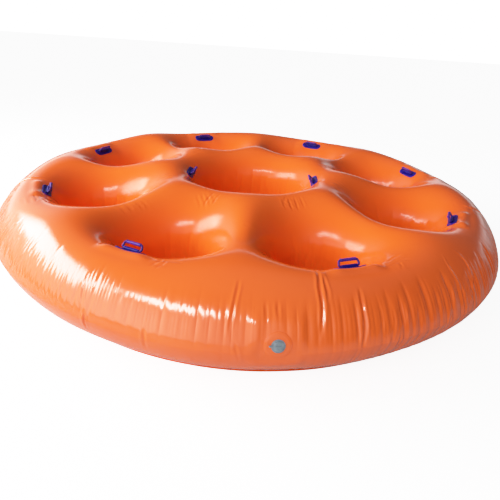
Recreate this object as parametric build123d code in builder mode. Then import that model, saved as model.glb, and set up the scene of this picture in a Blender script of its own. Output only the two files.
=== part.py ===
"""Round inflatable lounge tube: a ring-shaped air chamber of welded sheet with a middle well,
eight outer seat wells, grab handles, an inflation valve and a tow point.

Z is up, the base lies on z = 0 and the tube is centred on the Z axis. The front is at -Y,
with the valve near it; the tow point is at the back, +Y. Millimetres throughout.
"""
from build123d import *
import os
from math import cos, sin, radians, sqrt

os.makedirs("parts", exist_ok=True)

# ---------------------------------------------------------------- driving dimensions
SKIN = 2.0                  # sheet thickness
GAP = 0.25                  # half the gap left at each welded seam
OUTER_R = 1750.0            # outer radius of the tube
MID_Z = 287.0               # height of the widest line of the outer wall
TOP_Z = 596.0               # height of the deck around the middle well
DECK_R = 1000.0             # the deck is level out to here
CREST_R = 1330.0            # start of the rounded outer shoulder
CREST_Z = 2 * MID_Z
SHOULDER_W = OUTER_R - CREST_R
BASE_SEAM_Z = 60.0          # seam between outer wall and base sheet
CHINE_R = 1450.0            # seam between the flat of the base sheet and its turned-up edge

CENTRE_THROAT_R = 385.0     # middle well
CENTRE_FLARE_R = 185.0
CENTRE_FLARE_H = TOP_Z - MID_Z
CENTRE_HEAD_R = CENTRE_THROAT_R + CENTRE_FLARE_R
CENTRE_SEAM_R = 480.0

WELLS = 8                   # outer wells
WELL_PITCH_R = 1083.0
WELL_THROAT_R = 225.0
WELL_FLARE_R = 380.0
WELL_FLARE_H = 312.0
WELL_HEAD_R = WELL_THROAT_R + WELL_FLARE_R
WELL_SEAM_R = 350.0

FOOT_FLARE_R = 90.0         # flare of every well wall where it meets the base
FOOT_FLARE_H = 120.0
CENTRE_FOOT_R = CENTRE_THROAT_R + FOOT_FLARE_R
WELL_FOOT_R = WELL_THROAT_R + FOOT_FLARE_R
FLOOR_IN = 18.0             # floors stop this far inside the foot of their wall
DRAIN_R = 12.0              # drain holes in the floors

RUN = 0.05                  # running clearance, radial

STEP_ANGLE = 360 / WELLS
HALF = STEP_ANGLE / 2
FRONT = -90.0               # direction of the front spoke
BACK = 90.0

# elliptical parts of the section: radius of the centre (at MID_Z), half width, half height
OUTER_CURVE = (CREST_R, SHOULDER_W, MID_Z)
WELL_CURVE = (WELL_HEAD_R, WELL_FLARE_R, WELL_FLARE_H)
CENTRE_CURVE = (CENTRE_HEAD_R, CENTRE_FLARE_R, CENTRE_FLARE_H)

# reach of the cutting shapes
FAR = 2400.0
CUT_PLANE = Plane.XY.offset(-50)
CUT_H = 800.0
BASE_CUT_H = 300.0


# ---------------------------------------------------------------- helpers
def polar(radius, angle):
    return radius * cos(radians(angle)), radius * sin(radians(angle))


def upright(angle, x=0.0, y=0.0):
    """Vertical sketch plane through (x, y); its local x points outwards at the angle."""
    a = radians(angle)
    return Plane(origin=(x, y, 0), x_dir=(cos(a), sin(a), 0), z_dir=(sin(a), -cos(a), 0))


def turn(angle):
    return Location((0, 0, 0), (0, 0, angle))


def vertical(x, y):
    return Axis((x, y, 0), (0, 0, 1))


def placed(part, location):
    with BuildPart() as copy:
        with Locations(location):
            add(part)
    return copy.part


def save(part, name):
    part.label = name
    export_step(part, f"parts/{name}.step")


def skin_frame(angle, curve, radius, rise, x=0.0, y=0.0):
    """Tangent frame at a point of a curve revolved about (x, y): x along the rim,
    z out of the skin. The rise is measured from MID_Z."""
    centre, half_width, half_height = curve
    out, up = (radius - centre) / half_width**2, rise / half_height**2
    across, along = polar(1, angle)
    return Plane(
        origin=(x + radius * across, y + radius * along, MID_Z + rise),
        x_dir=(-along, across, 0),
        z_dir=Vector(out * across, out * along, up).normalized(),
    )


def lying_sheet(angle, arc, curve, low, high, radii, heights, x=0.0, y=0.0):
    """Sheet between two distances off a curve revolved about (x, y), centred on the angle
    and kept within a range of radii and heights."""
    centre, half_width, half_height = curve
    with BuildPart() as sheet:
        with BuildSketch(upright(angle - arc / 2, x, y)):
            with Locations((centre, MID_Z)):
                Ellipse(half_width + high, half_height + high)
                Ellipse(half_width + low, half_height + low, mode=Mode.SUBTRACT)
            with Locations((sum(radii) / 2, sum(heights) / 2)):
                Rectangle(radii[1] - radii[0], heights[1] - heights[0], mode=Mode.INTERSECT)
        revolve(axis=vertical(x, y), revolution_arc=arc)
    return sheet.part


def closed_loop(plane, points, corner_r, rod_r):
    """Round rod loop from its right half, mirrored about YZ. The plane is parallel to XZ."""
    with BuildPart() as half:
        with BuildLine(plane):
            FilletPolyline(*points, radius=corner_r)
        with BuildSketch(Plane(origin=plane.origin, x_dir=(0, 1, 0), z_dir=(1, 0, 0))):
            Circle(rod_r)
        sweep()
    with BuildPart() as loop:
        add(half.part)
        mirror(about=Plane.YZ)
    return loop.part


# ---------------------------------------------------------------- outlines of the air chamber
def chamber_outline(inset):
    """Half section of the ring, inset by the given distance."""
    t = inset
    EllipticalCenterArc(
        (CENTRE_FOOT_R, FOOT_FLARE_H), FOOT_FLARE_R - t, FOOT_FLARE_H - t, 180, arc_size=90
    )
    Line((CENTRE_THROAT_R + t, FOOT_FLARE_H), (CENTRE_THROAT_R + t, MID_Z))
    EllipticalCenterArc(
        (CENTRE_HEAD_R, MID_Z), CENTRE_FLARE_R - t, CENTRE_FLARE_H - t, 90, arc_size=90
    )
    Polyline((CENTRE_HEAD_R, TOP_Z - t), (DECK_R, TOP_Z - t), (CREST_R, CREST_Z - t))
    EllipticalCenterArc((CREST_R, MID_Z), SHOULDER_W - t, MID_Z - t, 0, arc_size=90)
    EllipticalCenterArc((CREST_R, MID_Z), SHOULDER_W - t, MID_Z - t, 270, arc_size=90)
    Line((CREST_R, t), (CENTRE_FOOT_R, t))


def well_outline(grow):
    """Half section of the air space of an outer well, grown by the given distance."""
    t = grow
    below, above = -30, 700     # the space runs past the chamber at both ends
    Polyline(
        (WELL_FOOT_R, t), (WELL_FOOT_R, below), (0, below), (0, above),
        (WELL_HEAD_R, above), (WELL_HEAD_R, MID_Z + WELL_FLARE_H - t),
    )
    EllipticalCenterArc(
        (WELL_HEAD_R, MID_Z), WELL_FLARE_R - t, WELL_FLARE_H - t, 90, arc_size=90
    )
    Line((WELL_THROAT_R + t, MID_Z), (WELL_THROAT_R + t, FOOT_FLARE_H))
    EllipticalCenterArc(
        (WELL_FOOT_R, FOOT_FLARE_H), FOOT_FLARE_R - t, FOOT_FLARE_H - t, 180, arc_size=90
    )


def sheet_ring(start, arc, radii, heights):
    """Chamber sheet revolved from the start angle, within a range of radii and heights."""
    with BuildPart() as ring:
        with BuildSketch(upright(start)):
            with BuildLine():
                chamber_outline(0)
            make_face()
            with BuildLine():
                chamber_outline(SKIN)
            make_face(mode=Mode.SUBTRACT)
            with Locations((sum(radii) / 2, sum(heights) / 2)):
                Rectangle(radii[1] - radii[0], heights[1] - heights[0], mode=Mode.INTERSECT)
        revolve(axis=Axis.Z, revolution_arc=arc)
    return ring.part


# ---------------------------------------------------------------- one eighth of the chamber
WELL_X, WELL_Y = polar(WELL_PITCH_R, HALF)


def solid_eighth(inset, overrun):
    """Solid chamber from 0 to 45 degrees plus an overrun at each end, less its well."""
    with BuildPart() as eighth:
        with BuildSketch(upright(-overrun)):
            with BuildLine():
                chamber_outline(inset)
            make_face()
        revolve(axis=Axis.Z, revolution_arc=STEP_ANGLE + 2 * overrun)
        with BuildSketch(upright(HALF, WELL_X, WELL_Y)):
            with BuildLine():
                well_outline(inset)
            make_face()
        revolve(axis=vertical(WELL_X, WELL_Y), mode=Mode.SUBTRACT)
    return eighth.part


# the sheet, cut to a wedge that leaves half a seam gap along each side
with BuildPart() as skin:
    add(solid_eighth(inset=0, overrun=2))
    add(solid_eighth(inset=SKIN, overrun=3), mode=Mode.SUBTRACT)
    step = radians(STEP_ANGLE)
    with BuildSketch(CUT_PLANE):
        with BuildLine():
            Polyline(
                polar(GAP / sin(radians(HALF)), HALF),
                (FAR, GAP),
                (FAR * cos(step) + GAP * sin(step), FAR * sin(step) - GAP * cos(step)),
                close=True,
            )
        make_face()
    extrude(amount=CUT_H, mode=Mode.INTERSECT)

# top gore: everything outside the well seams and above the base seam
with BuildPart() as top_gore:
    add(skin.part)
    with BuildSketch(CUT_PLANE):
        Circle(CENTRE_SEAM_R + GAP)
        with Locations((WELL_X, WELL_Y)):
            Circle(WELL_SEAM_R + GAP)
    extrude(amount=CUT_H, mode=Mode.SUBTRACT)
    with BuildSketch(CUT_PLANE):
        Circle(FAR)
    extrude(amount=BASE_SEAM_Z + GAP - CUT_PLANE.origin.Z, mode=Mode.SUBTRACT)
    # seams through the well's axis, one along its spoke and one square to it
    with BuildSketch(CUT_PLANE):
        with Locations(Location((WELL_X, WELL_Y, 0), (0, 0, HALF))):
            Rectangle(2 * FAR, 2 * GAP)
            Rectangle(2 * GAP, 2 * FAR)
    extrude(amount=CUT_H, mode=Mode.SUBTRACT)

# well wall: everything inside the well's seam, in eight gores
with BuildPart() as well_wall:
    add(skin.part)
    with BuildSketch(CUT_PLANE):
        with Locations((WELL_X, WELL_Y)):
            Circle(WELL_SEAM_R - GAP)
    extrude(amount=CUT_H, mode=Mode.INTERSECT)
    with BuildSketch(CUT_PLANE):
        for k in range(4):
            with Locations(Location((WELL_X, WELL_Y, 0), (0, 0, 45 * k))):
                Rectangle(1000, 2 * GAP)
    extrude(amount=CUT_H, mode=Mode.SUBTRACT)

# ---------------------------------------------------------------- top panels and seat walls
VALVE_ANGLE = 6.67          # from the front spoke, towards +X
VALVE_RISE = 43.0           # above the widest line
VALVE_HOLE_R = 18.3
valve_plane = skin_frame(
    FRONT + VALVE_ANGLE,
    OUTER_CURVE,
    radius=CREST_R + SHOULDER_W * sqrt(1 - (VALVE_RISE / MID_Z) ** 2),
    rise=VALVE_RISE,
)

for i in range(WELLS):
    spoke = turn(FRONT + i * STEP_ANGLE)
    with BuildPart() as top_panel:
        with Locations(spoke):
            add(top_gore.part)
        if i == 0:              # the valve goes through the first panel
            with BuildSketch(valve_plane.offset(-60)):
                Circle(VALVE_HOLE_R)
            extrude(amount=100, mode=Mode.SUBTRACT)
    save(top_panel.part, f"top_panel_{i + 1}")
    save(placed(well_wall.part, spoke), f"seat_wall_{i + 1}")

# ---------------------------------------------------------------- base sheet, four quarters
EDGE_SEAM_MID_R = CHINE_R + 200     # middle of the cut across the turned-up edge
EDGE_SEAM_L = 401.0

for q in range(4):
    start = FRONT + 90 * q
    middle = start + STEP_ANGLE
    with BuildPart() as base_panel:
        add(sheet_ring(
            start, 90, radii=(CENTRE_SEAM_R + GAP, 2000), heights=(-40, BASE_SEAM_Z - GAP)
        ))
        # seam gaps along both straight sides, and the two wells
        with BuildSketch(CUT_PLANE):
            for side in (start, start + 90):
                with Locations(Location((0, 0, 0), (0, 0, side))):
                    Rectangle(2 * FAR, 2 * GAP)
            for k in (0.5, 1.5):
                with Locations(polar(WELL_PITCH_R, start + k * STEP_ANGLE)):
                    Circle(WELL_SEAM_R + GAP)
        extrude(amount=BASE_CUT_H, mode=Mode.SUBTRACT)
        # the turned-up edge is a strip of its own, in two lengths per quarter
        with BuildSketch(CUT_PLANE):
            Circle(CHINE_R + GAP)
            Circle(CHINE_R - GAP, mode=Mode.SUBTRACT)
        extrude(amount=BASE_CUT_H, mode=Mode.SUBTRACT)
        with BuildSketch(CUT_PLANE):
            with Locations(Location((*polar(EDGE_SEAM_MID_R, middle), 0), (0, 0, middle))):
                Rectangle(EDGE_SEAM_L, 2 * GAP)
        extrude(amount=BASE_CUT_H, mode=Mode.SUBTRACT)
    save(base_panel.part, f"base_panel_{q + 1}")

# ---------------------------------------------------------------- middle well wall, eight gores
with BuildPart() as centre_wall:
    add(sheet_ring(0, 360, radii=(0, CENTRE_SEAM_R - GAP), heights=(-100, 800)))
    with BuildSketch(CUT_PLANE):
        for k in range(4):
            with Locations(Location((0, 0, 0), (0, 0, 45 * k))):
                Rectangle(1400, 2 * GAP)
    extrude(amount=CUT_H, mode=Mode.SUBTRACT)
save(centre_wall.part, "centre_wall")


# ---------------------------------------------------------------- floors with drain holes
def floors(centres, radius, drain_pitch_r):
    with BuildPart() as discs:
        with BuildSketch(Plane.XY):
            for centre in centres:
                with Locations(centre):
                    Circle(radius)
                    with PolarLocations(drain_pitch_r, 4):
                        Circle(DRAIN_R, mode=Mode.SUBTRACT)
        extrude(amount=SKIN)
    return discs.part


well_centres = [polar(WELL_PITCH_R, FRONT + (i + 0.5) * STEP_ANGLE) for i in range(WELLS)]
save(floors(well_centres, WELL_FOOT_R - FLOOR_IN, drain_pitch_r=150), "seat_floors")
save(floors([(0, 0)], CENTRE_FOOT_R - FLOOR_IN, drain_pitch_r=260), "centre_floor")

# ---------------------------------------------------------------- grab handles
WELL_HANDLE_R = 337.0       # handle base, measured from its well's axis
CENTRE_HANDLE_R = 462.0
PAD_LENGTH, PAD_WIDTH, PAD_T = 184.0, 66.0, 4.0
PAD_LIFT = 0.3              # pad underside above the skin
PAD_ARC = 40.0              # arc revolved before the pad is trimmed to its slot shape
PAD_TRIM = 60.0             # reach of the trimming shape to each side of the skin
PIVOT_H = 14.0              # swing axis above the skin
SLEEVE_HALF = 44.0          # half the length of the sleeve around the strap
SLEEVE_WALL = 3.0
SLEEVE_WEB = 14.0           # width of the web under the sleeve
BORE_OVERRUN = 5.0
ROD_R = 6.0                 # strap section
LOOP_HALF = 57.0            # half the distance between the strap's legs
LOOP_H = 33.0               # swing axis to grip axis
LOOP_CORNER_R = 11.0
GRIP_R = 8.2


def handle_frame(angle, curve, radius, x=0.0, y=0.0):
    centre, half_width, half_height = curve
    rise = half_height * sqrt(1 - ((centre - radius) / half_width) ** 2)
    return skin_frame(angle, curve, radius, rise, x, y)


def across(frame, along):
    """Plane across a handle frame, at a distance along the rim, looking along the rim."""
    return Plane(
        origin=frame.origin + frame.x_dir * along, x_dir=frame.y_dir, z_dir=frame.x_dir
    )


def handle_pad(frame, angle, curve, radii, x=0.0, y=0.0):
    """Slot-shaped pad lying on a well's flare, with a bored sleeve for the strap."""
    with BuildPart() as pad:
        add(lying_sheet(
            angle, PAD_ARC, curve, PAD_LIFT, PAD_LIFT + PAD_T,
            radii, heights=(MID_Z + 10, MID_Z + 790), x=x, y=y,
        ))
        with BuildSketch(frame.offset(-PAD_TRIM)):
            SlotOverall(PAD_LENGTH, PAD_WIDTH)
        extrude(amount=2 * PAD_TRIM, mode=Mode.INTERSECT)
        with BuildSketch(across(frame, -SLEEVE_HALF)):
            with Locations((0, PIVOT_H)):
                Circle(ROD_R + SLEEVE_WALL)
            with Locations((0, (PAD_T + PIVOT_H) / 2)):
                Rectangle(SLEEVE_WEB, PIVOT_H - PAD_T)
        extrude(amount=2 * SLEEVE_HALF)
        with BuildSketch(across(frame, -SLEEVE_HALF - BORE_OVERRUN)):
            with Locations((0, PIVOT_H)):
                Circle(ROD_R + RUN)
        extrude(amount=2 * (SLEEVE_HALF + BORE_OVERRUN), mode=Mode.SUBTRACT)
    return pad.part


# outer handles sit on the outer side of their wells, middle ones at +X and -X
outer_frame = handle_frame(HALF, WELL_CURVE, WELL_HANDLE_R, WELL_X, WELL_Y)
centre_frame = handle_frame(0, CENTRE_CURVE, CENTRE_HANDLE_R)
outer_pad = handle_pad(outer_frame, HALF, WELL_CURVE, (280, 400), WELL_X, WELL_Y)
centre_pad = handle_pad(centre_frame, 0, CENTRE_CURVE, (400, 530))

# turn, frame and pad of each handle
handles = [(turn(FRONT + i * STEP_ANGLE), outer_frame, outer_pad) for i in range(WELLS)]
handles += [(turn(side), centre_frame, centre_pad) for side in (0, 180)]

with BuildPart() as handle_pads:
    for spin, _, pad_form in handles:
        with Locations(spin):
            add(pad_form)
save(handle_pads.part, "handle_pads")

# strap and grip are drawn about the swing axis: x along the rim, z out of the skin
strap_form = closed_loop(
    Plane.XZ,
    [(0, 0), (LOOP_HALF, 0), (LOOP_HALF, LOOP_H), (0, LOOP_H)],
    LOOP_CORNER_R,
    ROD_R,
)

# one end of the grip, from the rod outwards to the plain barrel: distance from middle, radius
GRIP_END = [
    (43, ROD_R + RUN), (43, GRIP_R - 0.4), (41.5, GRIP_R + 1.0), (38.5, GRIP_R + 1.0),
    (36, GRIP_R),
]
with BuildPart() as grip_form:
    with BuildSketch(Plane(origin=(0, 0, LOOP_H), x_dir=(1, 0, 0), z_dir=(0, -1, 0))):
        with BuildLine():
            Polyline(*[(-x, r) for x, r in GRIP_END], *reversed(GRIP_END), close=True)
        make_face()
    revolve(axis=Axis((0, 0, LOOP_H), (1, 0, 0)))

for n, (spin, frame, _) in enumerate(handles, 1):
    seat = spin * frame.offset(PIVOT_H).location
    save(placed(strap_form, seat), f"handle_strap_{n}")
    save(placed(grip_form.part, seat), f"handle_grip_{n}")

# ---------------------------------------------------------------- inflation valve
# Heights are measured along the valve axis from the skin, positive outwards.
FLANGE_LOW = 1.8
FLANGE_TOP = FLANGE_LOW + 4
CAP_LOW = FLANGE_LOW + 4.3
CAP_STEP = FLANGE_LOW + 7.8
CAP_TOP = FLANGE_LOW + 9.0


def valve_rings(*rings):
    """Rings about the valve axis: (inner radius, outer radius, low, high) each."""
    with BuildPart() as stack:
        for inner, outer, low, high in rings:
            with BuildSketch(valve_plane.offset(low)):
                Circle(outer)
                if inner:
                    Circle(inner, mode=Mode.SUBTRACT)
            extrude(amount=high - low)
    return stack.part


# round patch on the skin around the hole
with BuildPart() as valve_patch:
    add(lying_sheet(
        FRONT + VALVE_ANGLE, 8, OUTER_CURVE, low=0.2, high=1.5,
        radii=(CREST_R + 100, CREST_R + 500), heights=(200, 460),
    ))
    with BuildSketch(valve_plane.offset(-40)):
        Circle(62)
        Circle(VALVE_HOLE_R, mode=Mode.SUBTRACT)
    extrude(amount=80, mode=Mode.INTERSECT)
save(valve_patch.part, "valve_patch")

# flange, barrel and inner lip, with a three-legged spider and dimples round the flange
with BuildPart() as valve_body:
    add(valve_rings(
        (13, 28, FLANGE_LOW, FLANGE_TOP),
        (13, 18, -36, FLANGE_LOW),
        (9, 18, -36, -33),
    ))
    with BuildSketch(valve_plane.offset(-17)):
        with PolarLocations(0, 3):
            with Locations((9, 0)):
                Rectangle(10, 3)
        Circle(5.2)
        Circle(3.05, mode=Mode.SUBTRACT)
    extrude(amount=4)
    with BuildSketch(valve_plane.offset(FLANGE_TOP)):
        with PolarLocations(26, 24):
            Circle(0.9)
    extrude(amount=-1.2, mode=Mode.SUBTRACT)
save(valve_body.part, "valve_body")

save(valve_rings((18.4, 29, -7.0, -4.8)), "valve_gasket")

# nut with eight notches round its rim
with BuildPart() as valve_nut:
    add(valve_rings((18.4, 29, -13.5, -7.3)))
    with BuildSketch(valve_plane.offset(-14)):
        with PolarLocations(29, 8):
            Rectangle(5, 7)
    extrude(amount=7, mode=Mode.SUBTRACT)
save(valve_nut.part, "valve_nut")

# stem, disc and button
save(
    valve_rings((0, 3, -38, -4), (0, 11.5, -39, -36.2), (0, 5.5, -4, -1.5)),
    "valve_poppet",
)

# return spring between the spider and the button of the poppet
SPRING_LOW, SPRING_HIGH = -12.9, -4.1
SPRING_WIRE_R = 0.45
SPRING_R = 4.1
SPRING_TURNS = 4
spring_rise = SPRING_HIGH - SPRING_LOW - 2 * SPRING_WIRE_R
with BuildPart() as spring_form:
    with BuildLine():
        Helix(pitch=spring_rise / SPRING_TURNS, height=spring_rise, radius=SPRING_R)
    with BuildSketch(Plane(origin=(SPRING_R, 0, 0), x_dir=(1, 0, 0), z_dir=(0, 1, 0))):
        Circle(SPRING_WIRE_R)
    sweep(is_frenet=True)
spring_seat = valve_plane.offset(SPRING_LOW + SPRING_WIRE_R).location
save(placed(spring_form.part, spring_seat), "valve_spring")

# stepped cap with a plug skirt, a finger bar and notches round the edge
with BuildPart() as valve_cap:
    add(valve_rings(
        (0, 24.5, CAP_LOW, CAP_STEP),
        (0, 21, CAP_STEP, CAP_TOP),
        (10.5, 12.9, -7.5, CAP_LOW),
    ))
    with BuildSketch(valve_plane.offset(CAP_TOP)):
        Rectangle(26, 5)
    extrude(amount=3.2)
    with BuildSketch(valve_plane.offset(CAP_LOW)):
        with PolarLocations(24.9, 20):
            Circle(1.1)
    extrude(amount=4, mode=Mode.SUBTRACT)
save(valve_cap.part, "valve_cap")

# leash: a ring round the flange and a strip folded back up to the cap
LEASH_WIDTH = 7.0
# outline of the strip: distance along the valve frame's x, height above the flange underside
LEASH_OUTLINE = [
    (-30.5, 0.8), (-38.0, 1.0), (-41.0, 4.3), (-38.0, 7.6), (-25.2, 7.6),
    (-25.2, 6.0), (-37.2, 6.0), (-39.0, 4.3), (-37.2, 2.6), (-30.5, 2.4),
]
leash_side = Plane(
    origin=valve_plane.origin - valve_plane.y_dir * (LEASH_WIDTH / 2),
    x_dir=valve_plane.x_dir,
    z_dir=-valve_plane.y_dir,
)
with BuildPart() as cap_leash:
    add(valve_rings((28.3, 31.3, FLANGE_LOW + 0.8, FLANGE_LOW + 2.8)))
    with BuildSketch(leash_side):
        with BuildLine():
            Polyline(*[(x, FLANGE_LOW + z) for x, z in LEASH_OUTLINE], close=True)
        make_face()
    extrude(amount=-LEASH_WIDTH)
save(cap_leash.part, "cap_leash")

# ---------------------------------------------------------------- tow point, at the back
TOW_PIVOT = 19.0            # ring's bar axis beyond the outer wall
TOW_WEB_START = 4.0         # the sleeve's web starts this far beyond the outer wall
TOW_SLEEVE_R = 10.0
TOW_SLEEVE_WEB = 14.0
TOW_WIDTH = 50.0            # width of webbing and sleeve
TOW_ROD_R = 6.0
TOW_RADII = (CREST_R + 100, CREST_R + 500)
tow_plane = Plane(origin=(0, OUTER_R, MID_Z), x_dir=(-1, 0, 0), z_dir=(0, 1, 0))
TOW_TRIM_PLANE = tow_plane.offset(-60)
TOW_TRIM_L = 100.0


def tow_side(x):
    """Plane square to X on the outer wall; its local x points backwards, y up."""
    return Plane(origin=(x, OUTER_R, MID_Z), x_dir=(0, 1, 0), z_dir=(1, 0, 0))


with BuildPart() as tow_patch:
    add(lying_sheet(
        BACK, 16, OUTER_CURVE, low=0.3, high=2.3,
        radii=TOW_RADII, heights=(MID_Z - 160, MID_Z + 160),
    ))
    with BuildSketch(TOW_TRIM_PLANE):
        RectangleRounded(280, 200, 60)
    extrude(amount=TOW_TRIM_L, mode=Mode.INTERSECT)
save(tow_patch.part, "tow_patch")

# upright strip of webbing with a bored sleeve for the ring
with BuildPart() as tow_webbing:
    add(lying_sheet(
        BACK, 6, OUTER_CURVE, low=2.6, high=5.8,
        radii=TOW_RADII, heights=(MID_Z - 120, MID_Z + 120),
    ))
    with BuildSketch(TOW_TRIM_PLANE):
        Rectangle(TOW_WIDTH, 170)
    extrude(amount=TOW_TRIM_L, mode=Mode.INTERSECT)
    with BuildSketch(tow_side(-TOW_WIDTH / 2)):
        with Locations((TOW_PIVOT, 0)):
            Circle(TOW_SLEEVE_R)
        with Locations(((TOW_WEB_START + TOW_PIVOT) / 2, 0)):
            Rectangle(TOW_PIVOT - TOW_WEB_START, TOW_SLEEVE_WEB)
    extrude(amount=TOW_WIDTH)
    with BuildSketch(tow_side(-TOW_WIDTH / 2 - BORE_OVERRUN)):
        with Locations((TOW_PIVOT, 0)):
            Circle(TOW_ROD_R + RUN)
    extrude(amount=TOW_WIDTH + 2 * BORE_OVERRUN, mode=Mode.SUBTRACT)
save(tow_webbing.part, "tow_webbing")

# D ring, hanging from its straight bar
tow_ring = closed_loop(
    Plane(origin=(0, OUTER_R + TOW_PIVOT, MID_Z), x_dir=(1, 0, 0), z_dir=(0, -1, 0)),
    [(0, 0), (38, 0), (38, -30), (24, -62), (0, -62)],
    corner_r=9,
    rod_r=TOW_ROD_R,
)
save(tow_ring, "tow_ring")
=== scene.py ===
# A round orange inflatable with eight wells in a ring round a middle well.
# It lies flat, centred on the origin, with z up and its base at z = 0. The front is -Y, where the
# valve is; the tow ring is at the back (+Y). Each of the eight wells has a handle on its outer
# rim, and two more stand on the middle well's rim, at +X and -X. Lengths are in metres.
import math
from collections import namedtuple
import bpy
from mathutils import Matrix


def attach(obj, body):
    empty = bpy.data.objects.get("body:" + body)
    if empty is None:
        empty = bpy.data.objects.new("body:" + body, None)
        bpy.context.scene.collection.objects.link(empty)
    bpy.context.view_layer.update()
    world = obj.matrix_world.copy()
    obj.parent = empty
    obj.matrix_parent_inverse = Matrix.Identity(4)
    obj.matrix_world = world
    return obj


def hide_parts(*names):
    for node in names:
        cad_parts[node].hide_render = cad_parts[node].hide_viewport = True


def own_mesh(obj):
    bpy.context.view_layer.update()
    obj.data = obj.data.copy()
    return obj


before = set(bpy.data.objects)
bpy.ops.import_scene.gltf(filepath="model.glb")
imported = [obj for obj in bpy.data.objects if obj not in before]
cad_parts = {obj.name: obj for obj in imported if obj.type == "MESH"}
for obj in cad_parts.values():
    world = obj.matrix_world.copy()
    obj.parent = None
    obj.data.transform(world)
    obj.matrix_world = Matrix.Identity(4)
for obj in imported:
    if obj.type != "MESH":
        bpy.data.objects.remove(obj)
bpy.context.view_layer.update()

from types import SimpleNamespace

import bpy
import bmesh
import numpy as np
from mathutils import Matrix, Vector

TAU = 2 * math.pi

# ------------------------------------------------------------------ driving dimensions
R = 1.75                            # outer radius
MID = 0.287                         # height of the widest line
SCALE = R / 1.6                     # the plan's figures are for an outer radius of 1.6
CROWN = 0.3248 * SCALE              # greatest half thickness
CENTRE_RADIUS = 0.3582 * SCALE      # middle well
WELL_CENTRE = 0.9897 * SCALE        # distance of the outer wells from the origin
WELL_RADIUS = 0.2061 * SCALE
WELL_STRETCH = 1.0568               # a well's width across, against its length outwards
WELL_TAPER = 0.5031 / SCALE         # how fast it widens outwards
# how the thickness grows away from each edge
OUTER_RISE = dict(reach=0.1974 * SCALE, power=1.42)
CENTRE_RISE = dict(reach=0.1041 * SCALE, power=0.83)
WELL_RISE = dict(reach=0.2044 * SCALE, power=1.12)

SPLIT_RADIUS = 1.50                 # where the outer wall's grid meets the well grids
INNER_RADIUS = 0.56                 # where the well grids meet the middle grid
WELL_SEAM = 0.35                    # seams between wall skins and gores, from the well's centre
CENTRE_SEAM = 0.48
FOOT_RADIUS = 1.505                 # outer wall at the base
FLARE_TOP, FLARE_REACH, FLARE_Z = 0.12, 0.09, 0.0035    # flare at the foot of a well's wall

WELLS = 8
SECTOR = TAU / WELLS
FRONT = math.radians(-90)
BACK = math.radians(90)
WELL_ANGLES = [FRONT + SECTOR * (k + 0.5) for k in range(WELLS)]

# elliptical cross-sections swept round a vertical axis, centred on z = MID
Section = namedtuple("Section", "centre half_width half_height")
WALL = Section(centre=1.330, half_width=R - 1.330, half_height=MID)
SKIN_SINK = 0.0006                  # the skin lies this far under a fitting's section

# Rims that carry handles. axis: the swept section's axis from the origin; rho: the pad from that
# axis. The remaining pairs are (across, outwards): half size of the flat under the pad, the width
# of its soft edge, and the soft edge of the part that takes no swell or crease.
SEAT_RIM = SimpleNamespace(axis=1.083, rho=0.337, section=Section(0.605, 0.380, 0.312),
                           flat=(0.175, 0.105), flat_soft=(0.09, 0.07), calm_soft=(0.08, 0.06))
CENTRE_RIM = SimpleNamespace(axis=0.0, rho=0.462, section=Section(0.570, 0.185, 0.309),
                             flat=(0.165, 0.07), flat_soft=(0.08, 0.045), calm_soft=(0.08, 0.03))
HANDLES = [(angle, SEAT_RIM) for angle in WELL_ANGLES] + [(0.0, CENTRE_RIM), (math.pi, CENTRE_RIM)]

VALVE_ANGLE = FRONT + math.radians(6.67)
VALVE_UP = 0.043                    # above the widest line
VALVE_Z = MID + VALVE_UP


# ------------------------------------------------------------------ shape functions
def smooth(t):
    t = np.clip(t, 0, 1)
    return t * t * (3 - 2 * t)


def box_weight(a, half_a, soft_a, b, half_b, soft_b):
    """1 inside a box of the given half sizes, falling to 0 over the soft widths at its edges."""
    return smooth((half_a - np.abs(a)) / soft_a) * smooth((half_b - np.abs(b)) / soft_b)


def signed_turn(at, angle):
    """Angle from `angle` to `at`, between -pi and pi."""
    return np.mod(at - angle + math.pi, TAU) - math.pi


def turned_axes(x, y, angle):
    """Distance outwards along the angle, and across it."""
    c, s = math.cos(angle), math.sin(angle)
    return x * c + y * s, -x * s + y * c


def section_height(section, rho):
    inside = 1 - ((section.centre - rho) / section.half_width) ** 2
    return section.half_height * np.sqrt(np.clip(inside, 0, None))


def section_radius(section, up):
    inside = 1 - (up / section.half_height) ** 2
    return section.centre + section.half_width * np.sqrt(np.clip(inside, 0, 1))


def rise(distance, reach, power):
    return 1 - np.exp(-(np.clip(distance, 0, None) ** power) / reach**power)


def pad_weight(x, y, angle, rim, soft):
    out, across = turned_axes(x, y, angle)
    return box_weight(across, rim.flat[0], soft[0], out - (rim.axis + rim.rho), rim.flat[1], soft[1])


def half_height(x, y):
    """Half the chamber's thickness at a point of the plan."""
    square = x * x + y * y
    fullness = rise((R * R - square) / (2 * R), **OUTER_RISE)
    fullness = fullness * rise((square - CENTRE_RADIUS**2) / (2 * CENTRE_RADIUS), **CENTRE_RISE)
    for angle in WELL_ANGLES:
        out, across = turned_axes(x, y, angle)
        out = out - WELL_CENTRE
        width = across / WELL_STRETCH / np.clip(1 + WELL_TAPER * out, 0.3, 3)
        # behind the origin the well has no effect
        far = np.where(out + WELL_CENTRE > 0, out * out + width * width, 9.0)
        fullness = fullness * rise((far - WELL_RADIUS**2) / (2 * WELL_RADIUS), **WELL_RISE)
    height = CROWN * np.sqrt(fullness)
    # the skin follows the rim's section under each handle's pad
    for angle, rim in HANDLES:
        weight = pad_weight(x, y, angle, rim, rim.flat_soft)
        out, across = turned_axes(x, y, angle)
        seat = section_height(rim.section, np.hypot(out - rim.axis, across)) - SKIN_SINK
        height = height + (seat - height) * weight
    return height


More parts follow.
